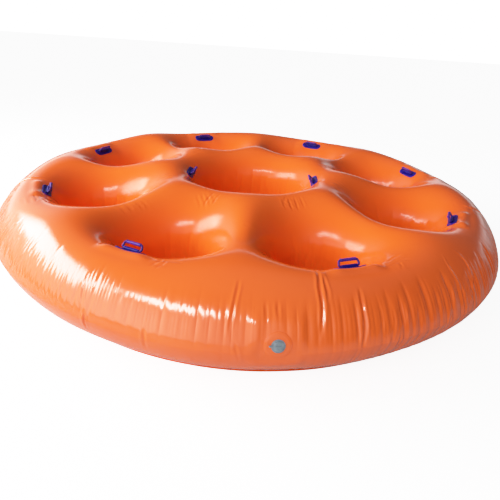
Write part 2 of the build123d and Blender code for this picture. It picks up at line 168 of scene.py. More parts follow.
def throat_radius(out, across):
    """Distance from a well's centre to its throat along unit directions, found by iteration."""
    rho = np.full(len(out), WELL_RADIUS)
    for _ in range(30):
        u, v = rho * out, rho * across
        reached = np.sqrt(u**2 + (v / WELL_STRETCH / (1 + WELL_TAPER * u)) ** 2)
        rho = rho * WELL_RADIUS / reached
    return rho


# ------------------------------------------------------------------ gathers
def gather_edges(total, mean, seed, spread):
    """Irregular positions of the valleys between gathers, along a closed length."""
    rng = np.random.default_rng(seed)
    count = int(round(total / mean))
    edges = np.cumsum(np.exp(rng.normal(0, spread, count)))
    return edges / edges[-1] * total, rng


def lobes(s, edges, total):
    """Width of the gather at s, the place across it (0 to 1), and its index."""
    ends = np.concatenate([[edges[-1] - total], edges, [edges[0] + total]])
    index = np.clip(np.searchsorted(ends, s, side="right") - 1, 0, len(ends) - 2)
    width = ends[index + 1] - ends[index]
    return width, (s - ends[index]) / width, index


# wide gathers, with a finer set of part-length ones between them;
# share: how strong the set is, at degrees from the front
GATHERS = [
    dict(mean=0.060, seed=11, spread=0.40, top=0.36, top_spread=0.09,
         depth=0.0034, depth_spread=0.0014, share=([-40, -5, 12, 62, 90], [1, 1, 1.25, 1.25, 1])),
    dict(mean=0.027, seed=23, spread=0.30, top=0.30, top_spread=0.08,
         depth=0.0024, depth_spread=0.0009, share=([-30, -12, 8, 62, 90], [1, 0.6, 0.38, 0.38, 1])),
]
# strength of all the gathers, at degrees from the front
GATHER_POWER = (
    [-180, -120, -65, -45, -20, -5, 10, 18, 30, 60, 90, 150, 180],
    [1.2, 0.95, 0.66, 0.50, 0.46, 0.46, 0.50, 0.85, 1.40, 1.6, 1.2, 1.0, 1.2],
)


def outer_folds(theta, sigma):
    """Outward displacement of the outer wall, negative in the valleys. Columns follow theta;
    rows follow sigma: 0 at the crest, 1 at the widest line, 2 at the base."""
    total = TAU * R
    s = np.mod(theta - FRONT, TAU) * R
    degrees = np.degrees(signed_turn(theta, FRONT))
    power = np.interp(degrees, *GATHER_POWER)
    down = sigma[:, None]
    moved = np.zeros((len(sigma), len(theta)))
    for kind in GATHERS:
        top, deep = kind["top"], kind["depth"]
        edges, rng = gather_edges(total, kind["mean"], kind["seed"], kind["spread"])
        count = len(edges)
        width, x, index = lobes(s, edges, total)
        arc = np.sqrt(np.clip(1 - (2 * x - 1) ** 2, 0, 1))
        share = np.interp(degrees, *kind["share"])
        start = np.clip(top + kind["top_spread"] * rng.normal(size=count), 0.16, 0.95)
        depth = np.clip(deep + kind["depth_spread"] * rng.normal(size=count), 0.0003, 3 * deep)
        foot = np.clip(0.6 + 0.5 * rng.normal(size=count), 0.05, 1.5)
        for side, part in ((0, x), (1, 1 - x)):
            valley = (index - 1 + side) % count
            near = part * width
            groove = np.exp(-((near / (0.0035 + 0.15 * np.minimum(width, 0.09))) ** 1.25))
            begun = smooth((down - start[valley][None, :]) / 0.22)
            # weaker at the widest line, where the wall is tight, and back again near the foot
            tight = np.clip(1.15 - 0.65 * power, 0.10, 0.86)[None, :]
            middle = 1 - tight * smooth((down - 0.62) / 0.30)
            low = foot[valley][None, :] * smooth((down - 1.36) / 0.25) * 1.1
            strength = (power * share)[None, :] * depth[valley][None, :] * groove[None, :]
            moved -= strength * (begun * middle + low)
        ridge = power[None, :] * 0.30 * deep * arc[None, :] * smooth((down - top) / 0.3)
        moved += ridge * (1 - 0.6 * smooth((down - 0.62) / 0.3))
    return moved


def well_folds(s, total, z, seed, mean=0.026, top=0.40, deep=0.0030):
    """Fine gathers on a well's wall below `top`; positive is into the well."""
    edges, rng = gather_edges(total, mean, seed, 0.5)
    count = len(edges)
    width, x, index = lobes(np.mod(s, total), edges, total)
    start = top + 0.035 * rng.normal(size=count)
    depth = np.clip(deep * (1 + 0.5 * rng.normal(size=count)), 0.0004, 2.2 * deep)
    moved = np.zeros(z.shape)
    for side, part in ((0, x), (1, 1 - x)):
        valley = (index - 1 + side) % count
        groove = np.exp(-((part * width / (0.006 + 0.22 * width)) ** 1.3))
        moved -= depth[valley] * groove * smooth((start[valley] - z) / 0.10)
    return moved


# ------------------------------------------------------------------ creases
# depth (negative is a valley), half width, and the points (x, y, z) along each, in millimetres
CREASES = [
    (-8, 7, [[352, -1380, 530], [371, -1442, 540], [374, -1541, 519], [388, -1606, 467],
             [388, -1660, 399], [383, -1690, 346]]),
    (-5, 6, [[380, -1407, 533], [398, -1511, 529], [410, -1555, 504], [406, -1596, 472]]),
    (-8, 7, [[557, -1488, 514], [573, -1561, 455], [590, -1605, 390], [590, -1637, 326],
             [576, -1649, 267]]),
    (-4, 6, [[656, -1533, 450], [676, -1563, 401], [675, -1595, 347]]),
    (-6, 6, [[716, -1513, 442], [738, -1551, 377], [732, -1589, 292], [722, -1579, 238]]),
    (-6, 7, [[780, -1460, 464], [795, -1514, 390], [777, -1565, 302], [775, -1530, 192]]),
    (-6, 7, [[1049, -1281, 465], [1076, -1337, 380], [1070, -1382, 302], [1070, -1362, 228]]),
    (4, 5, [[1095, -1064, 555], [1137, -1079, 536], [1175, -1095, 511], [1210, -1134, 462],
            [1222, -1182, 406], [1204, -1246, 346], [1148, -1319, 279]]),
    (-7, 6, [[16, -1551, 544], [11, -1595, 519], [6, -1628, 492], [-1, -1668, 451],
             [-9, -1707, 395], [-3, -1737, 334]]),
    (-4, 6, [[9, -1734, 343], [29, -1749, 293], [44, -1731, 225]]),
    (-4, 6, [[133, -1634, 482], [141, -1668, 444], [146, -1706, 387]]),
    (-5, 6, [[185, -1621, 489], [192, -1659, 448], [203, -1711, 366]]),
    (-3.5, 6, [[266, -1646, 451], [272, -1671, 417], [268, -1702, 365]]),
    (-4, 7, [[-389, -1692, 337], [-383, -1707, 295], [-377, -1687, 221]]),
    (-3, 6, [[-197, -1736, 271], [-187, -1719, 220], [-173, -1696, 174]]),
    (-8, 6, [[-686, -1480, 486], [-700, -1500, 463], [-704, -1519, 442], [-708, -1562, 381],
             [-690, -1601, 316], [-694, -1572, 199]]),
    (-4, 5, [[-658, -1494, 485], [-666, -1535, 444], [-672, -1567, 398]]),
    (-5, 6, [[-1098, -1189, 501], [-1095, -1253, 456], [-1100, -1302, 400]]),
    (-4, 6, [[-1220, -1050, 508], [-1228, -1114, 463], [-1222, -1171, 418]]),
]
# short puckers round the wells' rims: depth before the gain, and points, in millimetres
PUCKER_GAIN, PUCKER_WIDTH = 1.7, 5.5
PUCKERS = [
    (-2.8, [[-788, -761, 534], [-740, -800, 527], [-706, -818, 505]]),
    (-2.8, [[-750, -730, 541], [-716, -759, 533], [-674, -783, 507]]),
    (-3.2, [[-708, -690, 560], [-666, -716, 540], [-618, -743, 508]]),
    (-2.4, [[-680, -670, 565], [-640, -700, 543], [-597, -728, 511]]),
    (-2.4, [[-331, -588, 580], [-304, -640, 554], [-285, -683, 525]]),
    (-2.4, [[-301, -577, 585], [-273, -637, 562], [-252, -692, 531]]),
    (-2.4, [[-269, -576, 587], [-241, -642, 566], [-221, -697, 542]]),
    (-2.0, [[-238, -575, 589], [-210, -642, 575], [-191, -696, 557]]),
    (-2.4, [[199, -546, 593], [218, -629, 578], [239, -673, 549]]),
    (-2.8, [[237, -537, 593], [263, -622, 572], [283, -668, 538]]),
    (-2.8, [[276, -514, 595], [300, -604, 575], [321, -658, 537]]),
    (-2.4, [[315, -514, 598], [338, -590, 579], [358, -635, 551]]),
    (-2.4, [[-405, -1473, 538], [-377, -1455, 541], [-350, -1425, 538]]),
    (-2.4, [[-380, -1502, 534], [-352, -1481, 541], [-326, -1447, 541]]),
    (-3.2, [[724, -1311, 538], [773, -1267, 542], [819, -1237, 547], [861, -1225, 550]]),
    (-3.2, [[731, -1346, 536], [784, -1305, 540], [836, -1271, 544]]),
    (-2.4, [[751, -1369, 528], [803, -1330, 533], [849, -1304, 534]]),
    (-2.8, [[728, -1254, 531], [780, -1200, 536], [824, -1179, 547]]),
    (-2.6, [[560, -200, 594], [590, -264, 584], [648, -285, 555]]),
    (-2.4, [[600, -150, 599], [640, -200, 585], [700, -205, 555]]),
    (-2.4, [[-515, -295, 596], [-452, -412, 608], [-393, -481, 607]]),
    (-2.4, [[-518, -417, 605], [-461, -502, 609], [-415, -544, 599]]),
]
SPLINE_STEPS = 6
CREASE_TAPER = 0.28                 # share of a crease's length over which each end fades


def spline(points):
    """A smooth curve through the points."""
    p = np.concatenate([[2 * points[0] - points[1]], points, [2 * points[-1] - points[-2]]])
    curve = []
    for i in range(1, len(p) - 2):
        t = np.linspace(0, 1, SPLINE_STEPS, endpoint=i == len(p) - 3)[:, None]
        linear = p[i + 1] - p[i - 1]
        square = 2 * p[i - 1] - 5 * p[i] + 4 * p[i + 1] - p[i + 2]
        cubic = 3 * p[i] - p[i - 1] - 3 * p[i + 1] + p[i + 2]
        curve.append(0.5 * (2 * p[i] + linear * t + square * t**2 + cubic * t**3))
    return np.concatenate(curve)


def crease(points, line, depth, width):
    """Displacement of the points by one crease: a valley between two low shoulders."""
    moved = np.zeros(len(points))
    low, high = line.min(0) - 5 * width, line.max(0) + 5 * width
    near = np.where(((points > low) & (points < high)).all(1))[0]
    if not len(near):
        return moved
    p = points[near]
    distance = np.full(len(p), 9.0)
    along = np.zeros(len(p))
    lengths = np.linalg.norm(np.diff(line, axis=0), axis=1)
    run = np.concatenate([[0], np.cumsum(lengths)])
    for i in range(len(line) - 1):
        start, step = line[i], line[i + 1] - line[i]
        t = np.clip(((p - start) @ step) / max(step @ step, 1e-12), 0, 1)
        here = np.linalg.norm(p - (start + t[:, None] * step), axis=1)
        closer = here < distance
        distance[closer] = here[closer]
        along[closer] = (run[i] + t[closer] * lengths[i]) / run[-1]
    q = distance / width
    fade = smooth(along / CREASE_TAPER) * smooth((1 - along) / CREASE_TAPER)
    moved[near] = depth * fade * (np.exp(-(q**1.5)) - 0.30 * np.exp(-(((q - 2.3) / 1.1) ** 2)))
    return moved


def turned(points, angle, mirror):
    p = np.asarray(points, float)
    if mirror:
        p = p * [-1, 1, 1]
    c, s = math.cos(angle), math.sin(angle)
    return np.stack([p[:, 0] * c - p[:, 1] * s, p[:, 0] * s + p[:, 1] * c, p[:, 2]], -1)


def all_creases():
    """The listed creases, and varied copies of them turned round the other sectors."""
    rng = np.random.default_rng(8)
    puckers = [(PUCKER_GAIN * depth, PUCKER_WIDTH, points) for depth, points in PUCKERS]
    items = [(depth, width, np.asarray(points, float)) for depth, width, points in CREASES + puckers]
    for k in range(2, 7):
        for depth, width, points in CREASES:
            if rng.random() < 0.55:
                copy_depth = depth * rng.uniform(0.7, 1.1)
                copy_width = width * rng.uniform(0.9, 1.2)
                angle = SECTOR * k + rng.normal() * 0.05
                items.append((copy_depth, copy_width, turned(points, angle, rng.random() < 0.5)))
    for k in range(1, WELLS):
        mirror = bool(rng.random() < 0.5)
        for depth, width, points in puckers:
            if rng.random() < 0.5:
                copy_depth = depth * rng.uniform(0.6, 1.0)
                angle = SECTOR * k + rng.normal() * 0.012
                items.append((copy_depth, width, turned(points, angle, mirror)))
    return items


# ------------------------------------------------------------------ mesh helpers
def ring_quads(ids):
    """Quads over a rows x columns table of vertex numbers, closed round the columns."""
    turned_ids = np.roll(ids, -1, axis=1)
    return np.stack([ids[:-1], turned_ids[:-1], turned_ids[1:], ids[1:]], -1).reshape(-1, 4)


def shade_smooth(ob):
    ob.data.polygons.foreach_set("use_smooth", [True] * len(ob.data.polygons))


def new_object(name, points, faces, normals=None):
    mesh = bpy.data.meshes.new(name)
    mesh.from_pydata(points.tolist(), [], faces)
    mesh.validate()
    mesh.polygons.foreach_set("use_smooth", [True] * len(mesh.polygons))
    if normals is not None:
        mesh.normals_split_custom_set_from_vertices(normals.tolist())
    mesh.update()
    ob = bpy.data.objects.new(name, mesh)
    bpy.context.scene.collection.objects.link(ob)
    return ob


def face_outwards(ob, merge=0):
    """Merge vertices closer than `merge`, and turn all faces outwards."""
    bm = bmesh.new()
    bm.from_mesh(ob.data)
    if merge:
        bmesh.ops.remove_doubles(bm, verts=bm.verts, dist=merge)
    bmesh.ops.recalc_face_normals(bm, faces=bm.faces)
    bm.to_mesh(ob.data)
    bm.free()
    shade_smooth(ob)


def joined(name, parts):
    """One object that replaces several."""
    points, faces, count = [], [], 0
    for part in parts:
        block = np.array([v.co for v in part.data.vertices], float).reshape(-1, 3)
        points.append(block)
        faces += [[i + count for i in face.vertices] for face in part.data.polygons]
        count += len(block)
        bpy.data.objects.remove(part)
    return new_object(name, np.concatenate(points), faces)


def sheet_solid(grid, thickness):
    """Points and faces of a thin closed solid below a grid whose rows run outwards."""
    top = grid.reshape(-1, 3)
    count = len(top)
    ids = np.arange(count).reshape(grid.shape[:2])
    upper = ring_quads(ids)[:, ::-1]
    inner_wall = ring_quads(np.stack([ids[0], ids[0] + count]))
    outer_wall_ = ring_quads(np.stack([ids[-1], ids[-1] + count]))[:, ::-1]
    faces = np.concatenate([upper, upper[:, ::-1] + count, inner_wall, outer_wall_])
    return np.concatenate([top, top - [0, 0, thickness]]), faces


def tube(name, path, radii, around, reference, closed=False):
    """A tube along a path. radii: per ring, or per ring and angle, or one number.
    reference: a direction that is never along the path."""
    count = len(path)
    if closed:
        tangent = np.roll(path, -1, 0) - np.roll(path, 1, 0)
    else:
        tangent = np.gradient(path, axis=0)
    tangent = tangent / np.linalg.norm(tangent, axis=1, keepdims=True)
    side = np.cross(tangent, reference)
    side /= np.linalg.norm(side, axis=1, keepdims=True)
    other = np.cross(side, tangent)
    angles = (np.arange(around) / around * TAU)[:, None]
    spokes = np.cos(angles) * side[:, None] + np.sin(angles) * other[:, None]
    points = path[:, None] + np.broadcast_to(radii, (count, around))[..., None] * spokes
    ids = np.arange(count * around).reshape(count, around)
    if closed:
        faces = ring_quads(np.concatenate([ids, ids[:1]])).tolist()
    else:
        faces = ring_quads(ids).tolist() + [ids[0][::-1].tolist(), ids[-1].tolist()]
    ob = new_object(name, points.reshape(-1, 3), faces)
    face_outwards(ob)
    return ob


finished = []                       # (object, slot) pairs that get their material at the end


def register(ob, carrier, slot, node=None):
    if node:
        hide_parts(node)
    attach(ob, carrier)
    finished.append((ob, slot))


# ------------------------------------------------------------------ chamber skin
N_ARC = 384      # columns per sector on the outer wall
N_SPOKE = 72      # steps along a sector's straight side
N_INNER = 64      # columns per sector on the middle well
WELL_WALL_STEPS, WELL_DECK_STEPS = ((20, 18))
SEAT, CENTRE = 8, 16                # piece numbers: gores 0-7, well walls 8-15, middle wall 16

theta = FRONT + np.arange(WELLS * N_ARC) / (WELLS * N_ARC) * TAU
theta_inner = FRONT + np.arange(WELLS * N_INNER) / (WELLS * N_INNER) * TAU
outer_dirs = np.stack([np.cos(theta), np.sin(theta)], -1)
inner_dirs = np.stack([np.cos(theta_inner), np.sin(theta_inner)], -1)

# how far the flank below the widest line is drawn in, at degrees from the front
FLANK_SLACK = (
    [-180, -120, -50, -32, -20, -12, 0, 10, 20, 32, 50, 120, 180],
    [0.012, 0.016, 0.012, 0.012, 0.026, 0.040, 0.031, 0.033, 0.020, 0.010, 0.012, 0.016, 0.012],
)


def outer_wall():
    """From the crest over the widest line to the base."""
    up = np.linspace(0, 1, 34)
    down = np.linspace(1, 2, 30)[1:]
    sigma = np.concatenate([up, down])
    r_up = R - (R - SPLIT_RADIUS) * (1 - np.sin(up * math.pi / 2))
    r_down = FOOT_RADIUS + (R - FOOT_RADIUS) * np.sin((2 - down) * math.pi / 2)
    radii = np.concatenate([r_up, r_down])[:, None]
    x, y = radii * outer_dirs[:, 0], radii * outer_dirs[:, 1]
    h_up = half_height(x[: len(up)], y[: len(up)])
    z_down = MID - CROWN * np.sqrt(rise((R * R - r_down**2) / (2 * R), **OUTER_RISE))
    z_down = np.maximum(z_down, 0.0015 + 0.004 * np.exp(-np.abs(z_down) / 0.02))
    z = np.concatenate([MID + h_up, np.repeat(z_down[:, None], len(theta), 1)])

    # the flank is a little flatter than the shoulder, most of all at the front
    slack = np.interp(np.degrees(signed_turn(theta, FRONT)), *FLANK_SLACK)
    drop = np.clip((MID - z) / MID, 0, 1)
    pull_in = slack[None, :] * np.exp(-(((drop - 0.72) / 0.22) ** 2)) * smooth(drop / 0.3)
    shrink = 1 - pull_in / np.hypot(x, y)
    band = np.stack([x * shrink, y * shrink, z], -1)

    # valve and tow patches lie on the section of the wall: pull the skin to it there
    from_valve = signed_turn(theta, VALVE_ANGLE) * R
    from_tow = signed_turn(theta, BACK) * R
    for ds, centre_z, half_s, half_z in ((from_valve, VALVE_Z, 0.145, 0.145),
                                         (from_tow, MID, 0.25, 0.20)):
        weight = box_weight(ds, half_s, 0.06, z - centre_z, half_z, 0.06)
        wall = section_radius(WALL, z - MID) - SKIN_SINK
        scale = 1 + weight * (wall / np.hypot(band[..., 0], band[..., 1]) - 1)
        band[..., 0] *= scale
        band[..., 1] *= scale
    calm = 1 - smooth((0.075 - np.hypot(from_valve[None, :], z - VALVE_Z)) / 0.03)
    calm = calm * (1 - box_weight(from_tow, 0.20, 0.05, z - MID, 0.16, 0.05))

    fold = outer_folds(theta, sigma) * calm
    fold *= smooth(sigma / 0.12)[:, None] * (1 - smooth((sigma - 1.8) / 0.2))[:, None]
    around = np.roll(band, -1, 1) - np.roll(band, 1, 1)
    normals = np.cross(np.gradient(band, axis=0), around)
    normals = normals / np.maximum(np.linalg.norm(normals, axis=2, keepdims=True), 1e-12)
    return band + normals * fold[..., None], np.arange(len(theta)) // N_ARC, True


def sector_rim(outer_arc, far_dir, inner_arc, near_dir, outer_radius, inner_radius, steps):
    """Closed outline of one sector, anticlockwise: outer arc, side, inner arc, side."""
    t = np.arange(steps) / steps
    inwards = outer_radius + (inner_radius - outer_radius) * t
    outwards = inner_radius + (outer_radius - inner_radius) * t
    return np.concatenate([
        outer_radius * outer_arc, inwards[:, None] * far_dir,
        inner_radius * inner_arc, outwards[:, None] * near_dir,
    ])


def polar_about(points, centre):
    """Distances and unit directions from a centre."""
    offset = points - centre
    distance = np.hypot(offset[:, 0], offset[:, 1])
    return distance, offset / distance[:, None]


def well_centre(angle):
    return np.array([WELL_CENTRE * math.cos(angle), WELL_CENTRE * math.sin(angle)])


def lower_wall(throat):
    """A well's wall below the widest line and the flare at its foot: radii and heights."""
    z_wall = np.linspace(MID, FLARE_TOP, 11)[1:]
    turn = np.linspace(0, math.pi / 2, 9)[1:]
    rho = np.concatenate([
        np.repeat(throat[None, :], len(z_wall), 0),
        throat[None, :] + FLARE_REACH * (1 - np.cos(turn))[:, None],
    ])
    z = np.concatenate([z_wall, FLARE_TOP * (1 - np.sin(turn)) + FLARE_Z])
    return rho, np.repeat(z[:, None], len(throat), 1)


def well_grid(k):
    """The wall of one outer well and the deck of its sector."""
    angle = WELL_ANGLES[k]
    near_col = k * N_ARC
    inner_cols = (k * N_INNER + N_INNER - np.arange(N_INNER)) % (WELLS * N_INNER)
    rim = sector_rim(
        outer_dirs[near_col:near_col + N_ARC], outer_dirs[(near_col + N_ARC) % len(theta)],
        inner_dirs[inner_cols], outer_dirs[near_col], SPLIT_RADIUS, INNER_RADIUS, N_SPOKE)
    centre = well_centre(angle)
    rim_rho, d = polar_about(rim, centre)
    throat = throat_radius(d[:, 0] * math.cos(angle) + d[:, 1] * math.sin(angle),
                           -d[:, 0] * math.sin(angle) + d[:, 1] * math.cos(angle))
    wall_t = np.linspace(0, 1, WELL_WALL_STEPS + 1)
    deck_t = np.linspace(0, 1, WELL_DECK_STEPS + 1)[1:]
    rho = np.concatenate([
        throat[None, :] + (WELL_SEAM - throat[None, :]) * (wall_t**1.8)[:, None],
        WELL_SEAM + (rim_rho[None, :] - WELL_SEAM) * deck_t[:, None],
    ])
    x = centre[0] + rho * d[:, 0]
    y = centre[1] + rho * d[:, 1]
    x[-1], y[-1] = rim[:, 0], rim[:, 1]
    z = MID + half_height(x, y)
    z[0] = MID
    low_rho, low_z = lower_wall(throat)
    rho = np.concatenate([low_rho[::-1], rho])
    z = np.concatenate([low_z[::-1], z])

    ring = centre + throat[:, None] * d
    steps = np.hypot(*np.diff(np.concatenate([ring, ring[:1]]), axis=0).T)
    s = np.concatenate([[0], np.cumsum(steps)])
    fold = well_folds(s[:-1], s[-1], z, 100 + k)
    near_wall = smooth((0.30 - (rho - throat[None, :])) / 0.1) * smooth((z - 0.004) / 0.03)
    rho = rho - fold * near_wall * np.where(rho < WELL_SEAM - 1e-6, 1, 0)
    x = centre[0] + rho * d[:, 0]
    y = centre[1] + rho * d[:, 1]
    # the outline is set exactly, so that it welds to the neighbouring grids
    x[-1], y[-1] = rim[:, 0], rim[:, 1]
    row = np.arange(len(rho) - 1)[:, None]
    piece = np.where(row < len(low_rho) + WELL_WALL_STEPS, SEAT + k, k)
    return np.stack([x, y, z], -1), piece, True


def centre_grid():
    """The middle well, from the deck inwards and down."""
    deck_rows = np.linspace(INNER_RADIUS, CENTRE_SEAM, 5)
    wall_t = 1 - (1 - np.linspace(0, 1, 19)[1:]) ** 1.9
    rows = np.concatenate([deck_rows, CENTRE_SEAM + (CENTRE_RADIUS - CENTRE_SEAM) * wall_t])
    c, s = inner_dirs[:, 0], inner_dirs[:, 1]
    z = MID + half_height(rows[:, None] * c, rows[:, None] * s)
    z[-1] = MID
    low_rho, low_z = lower_wall(np.full(len(c), CENTRE_RADIUS))
    rho = np.concatenate([np.repeat(rows[:, None], len(c), 1), low_rho])
    z = np.concatenate([z, low_z])
    run = np.arange(len(c)) / len(c) * TAU * CENTRE_RADIUS
    fold = well_folds(run, TAU * CENTRE_RADIUS, z, 77, mean=0.028, top=0.46, deep=0.0032)
    rho = rho - fold * (rho < CENTRE_SEAM - 1e-6) * smooth((z - 0.004) / 0.03)
    row = np.arange(len(rho) - 1)[:, None]
    piece = np.where(row < len(deck_rows) - 1, np.arange(len(c)) // N_INNER, CENTRE)
    return np.stack([rho * c, rho * s, z], -1), piece, False


def weld(grids):
    """One pool of points, quads and piece numbers from (points, pieces, flip) grids."""
    points, quads, pieces, count = [], [], [], 0
    for grid, piece, flip in grids:
        rows, cols = grid.shape[:2]
        block = ring_quads(np.arange(rows * cols).reshape(rows, cols) + count)
        points.append(grid.reshape(-1, 3))
        quads.append(block[:, ::-1] if flip else block)
        pieces.append(np.broadcast_to(piece, (rows - 1, cols)).ravel())
        count += rows * cols
    points = np.concatenate(points)
    key = np.round(points * 2e5).astype(np.int64)
    _, first, inverse = np.unique(key, axis=0, return_index=True, return_inverse=True)
    return points[first], inverse.reshape(-1)[np.concatenate(quads)], np.concatenate(pieces)


def vertex_normals(points, quads):
    face = np.cross(points[quads[:, 2]] - points[quads[:, 0]],
                    points[quads[:, 3]] - points[quads[:, 1]])
    normals = np.zeros_like(points)
    for corner in range(4):
        for a in range(3):
            normals[:, a] += np.bincount(quads[:, corner], weights=face[:, a],
                                         minlength=len(points))
    return normals / np.maximum(np.linalg.norm(normals, axis=1, keepdims=True), 1e-12)


def slow_swell(points):
    """Slow swell of the whole skin."""
    x, y = points[:, 0], points[:, 1]
    out = np.zeros(len(points))
    rng = np.random.default_rng(3)
    for _ in range(14):
        pitch = rng.uniform(1.2, 4.5)
        angle = rng.uniform(0, TAU)
        across = pitch * (x * math.cos(angle) + y * math.sin(angle)) * 2.0
        out += rng.normal() / pitch * np.sin(across + rng.uniform(0, TAU))
    return 0.004 * out


def free_weight(points):
    """1 where the skin may move, 0 under the fittings and at the base."""
    x, y, z = points.T
    free = np.ones(len(points))
    for angle, rim in HANDLES:
        free *= 1 - pad_weight(x, y, angle, rim, rim.calm_soft) * (z > MID)
    for angle, centre_z, half_s, half_z in ((VALVE_ANGLE, VALVE_Z, 0.12, 0.12),
                                            (BACK, MID, 0.24, 0.19)):
        ds = signed_turn(np.arctan2(y, x), angle) * R
        patch = box_weight(ds, half_s, 0.05, z - centre_z, half_z, 0.05)
        free *= 1 - patch * (np.hypot(x, y) > 1.55)
    return free * smooth((z - 0.01) / 0.08)


def surface_frame(section, angle, rho, up, axis):
    """A frame on a swept section: origin, across (level), along and normal."""
    c, s = math.cos(angle), math.sin(angle)
    normal_out = (rho - section.centre) / section.half_width**2
    normal_up = up / section.half_height**2
    length = math.hypot(normal_out, normal_up)
    normal = np.array([normal_out / length * c, normal_out / length * s, normal_up / length])
    across = np.array([-s, c, 0.0])
    origin = np.array([axis[0] + rho * c, axis[1] + rho * s, MID + up])
    return SimpleNamespace(origin=origin, across=across, along=np.cross(normal, across),
                           normal=normal, section=section, axis=axis)


VALVE = surface_frame(WALL, VALVE_ANGLE, section_radius(WALL, VALVE_UP), VALVE_UP, (0.0, 0.0))
OPENING_CUT, OPENING_RADIUS = 0.0185, 0.0188


def cut_valve_opening(points, quads, pieces):
    """Remove the quads inside a round opening for the valve's barrel, and round its edge."""
    offset = points - VALVE.origin
    height = offset @ VALVE.normal
    flat = offset - height[:, None] * VALVE.normal
    off_axis = np.where(np.abs(height) < 0.03, np.linalg.norm(flat, axis=1), 9.0)
    gone = (off_axis[quads] < OPENING_CUT).any(axis=1)
    edge = np.unique(quads[gone])
    edge = edge[off_axis[edge] >= OPENING_CUT]
    points[edge] += flat[edge] * (OPENING_RADIUS / off_axis[edge] - 1)[:, None]
    return quads[~gone], pieces[~gone]


def build_chamber():
    grids = [outer_wall()] + [well_grid(k) for k in range(WELLS)] + [centre_grid()]
    points, quads, pieces = weld(grids)
    normals = vertex_normals(points, quads)
    free = free_weight(points)
    points = points + normals * (slow_swell(points) * free)[:, None]
    pull = np.zeros(len(points))
    for depth, width, line in all_creases():
        pull += crease(points, spline(line / 1000.0), depth / 1000.0, width / 1000.0)
    points = points + normals * (np.clip(pull, -0.012, 0.006) * free)[:, None]
    normals = vertex_normals(points, quads)
    quads, pieces = cut_valve_opening(points, quads, pieces)

    names = [(f"top_gore_{k + 1}", f"top_panel_{k + 1}") for k in range(WELLS)]
    names += [(f"seat_wall_skin_{k + 1}", f"seat_wall_{k + 1}") for k in range(WELLS)]
    names += [("centre_wall_skin", "centre_wall")]
    for number, (name, cad_node) in enumerate(names):
        used, local = np.unique(quads[pieces == number], return_inverse=True)
        ob = new_object(name, points[used], local.reshape(-1, 4).tolist(), normals[used])
        register(ob, "chamber", "skin", cad_node)


build_chamber()

# ------------------------------------------------------------------ base sheets and floors
BASE_OUTER, BASE_INNER = 1.528, 0.470
BASE_HOLE = 0.283                   # radius left open round each well's centre
HOLE_RADIUS = 0.012                 # holes through the floors


def sheet_waves(x, y, seed, height, scale):
    rng = np.random.default_rng(seed)
    out = np.zeros(np.shape(x))
    for _ in range(12):
        pitch = scale * rng.uniform(0.5, 2.2)
        angle = rng.uniform(0, TAU)
        across = pitch * (x * math.cos(angle) + y * math.sin(angle))
        out = out + rng.normal() * np.sin(across + rng.uniform(0, TAU)) / 3
    return height * out


def base_sector(angle):
    """Points and faces of the base round one well."""
    low, high = angle - SECTOR / 2, angle + SECTOR / 2
    outer = np.linspace(low, high, 96, endpoint=False)
    inner = np.linspace(high, low, 30, endpoint=False)
    rim = sector_rim(
        np.stack([np.cos(outer), np.sin(outer)], -1), np.array([math.cos(high), math.sin(high)]),
        np.stack([np.cos(inner), np.sin(inner)], -1), np.array([math.cos(low), math.sin(low)]),
        BASE_OUTER, BASE_INNER, 24)
    centre = well_centre(angle)
    rim_rho, d = polar_about(rim, centre)
    t = np.linspace(0, 1, 12)[:, None]
    rho = BASE_HOLE * (1 - t) + rim_rho[None, :] * t
    x, y = centre[0] + rho * d[:, 0], centre[1] + rho * d[:, 1]
    z = 0.0014 + np.clip(sheet_waves(x, y, 40, 0.0007, 18.0), -0.0008, 0.0012)
    return sheet_solid(np.stack([x, y, z], -1), 0.0006)


def build_base_sheet(number):
    """One quarter of the base: two sectors."""
    first = 2 * (number - 1)
    points_a, faces_a = base_sector(WELL_ANGLES[first])
    points_b, faces_b = base_sector(WELL_ANGLES[first + 1])
    faces = np.concatenate([faces_a, faces_b + len(points_a)]).tolist()
    ob = new_object(f"base_sheet_{number}", np.concatenate([points_a, points_b]), faces)
    register(ob, "chamber", "skin", f"base_panel_{number}")


def cap_middle(ob, cols):
    """Replace the wall of the small hole at a floor's middle by a face above and one below."""
    bm = bmesh.new()
    bm.from_mesh(ob.data)
    bm.verts.ensure_lookup_table()
    half = len(bm.verts) // 2
    top_loop = [bm.verts[i] for i in range(cols)]
    low_loop = [bm.verts[half + i] for i in range(cols)]
    both = set(top_loop) | set(low_loop)
    wall = [face for face in bm.faces if all(v in both for v in face.verts)]
    bmesh.ops.delete(bm, geom=wall, context="FACES_ONLY")
    bm.faces.new(top_loop)
    bm.faces.new(low_loop[::-1])
    bmesh.ops.recalc_face_normals(bm, faces=bm.faces)
    bm.to_mesh(ob.data)
    bm.free()


def cut_holes(ob, holes):
    cutters = []
    for x, y in holes:
        bpy.ops.mesh.primitive_cylinder_add(vertices=28, radius=HOLE_RADIUS, depth=0.05,
                                            location=(x, y, 0.0))
        cutters.append(bpy.context.object)
    bpy.ops.object.select_all(action="DESELECT")
    for cutter in cutters:
        cutter.select_set(True)
    bpy.context.view_layer.objects.active = cutters[0]
    bpy.ops.object.join()
    cutter = bpy.context.object
    mod = ob.modifiers.new("holes", "BOOLEAN")
    mod.operation = "DIFFERENCE"
    mod.solver = "EXACT"
    mod.object = cutter
    depsgraph = bpy.context.evaluated_depsgraph_get()
    mesh = bpy.data.meshes.new_from_object(ob.evaluated_get(depsgraph))
    ob.modifiers.clear()
    ob.data = mesh
    bpy.data.objects.remove(cutter)
    shade_smooth(ob)


def four_holes(x, y, radius):
    turns = np.arange(4) * TAU / 4
    return [(x + radius * math.cos(turn), y + radius * math.sin(turn)) for turn in turns]


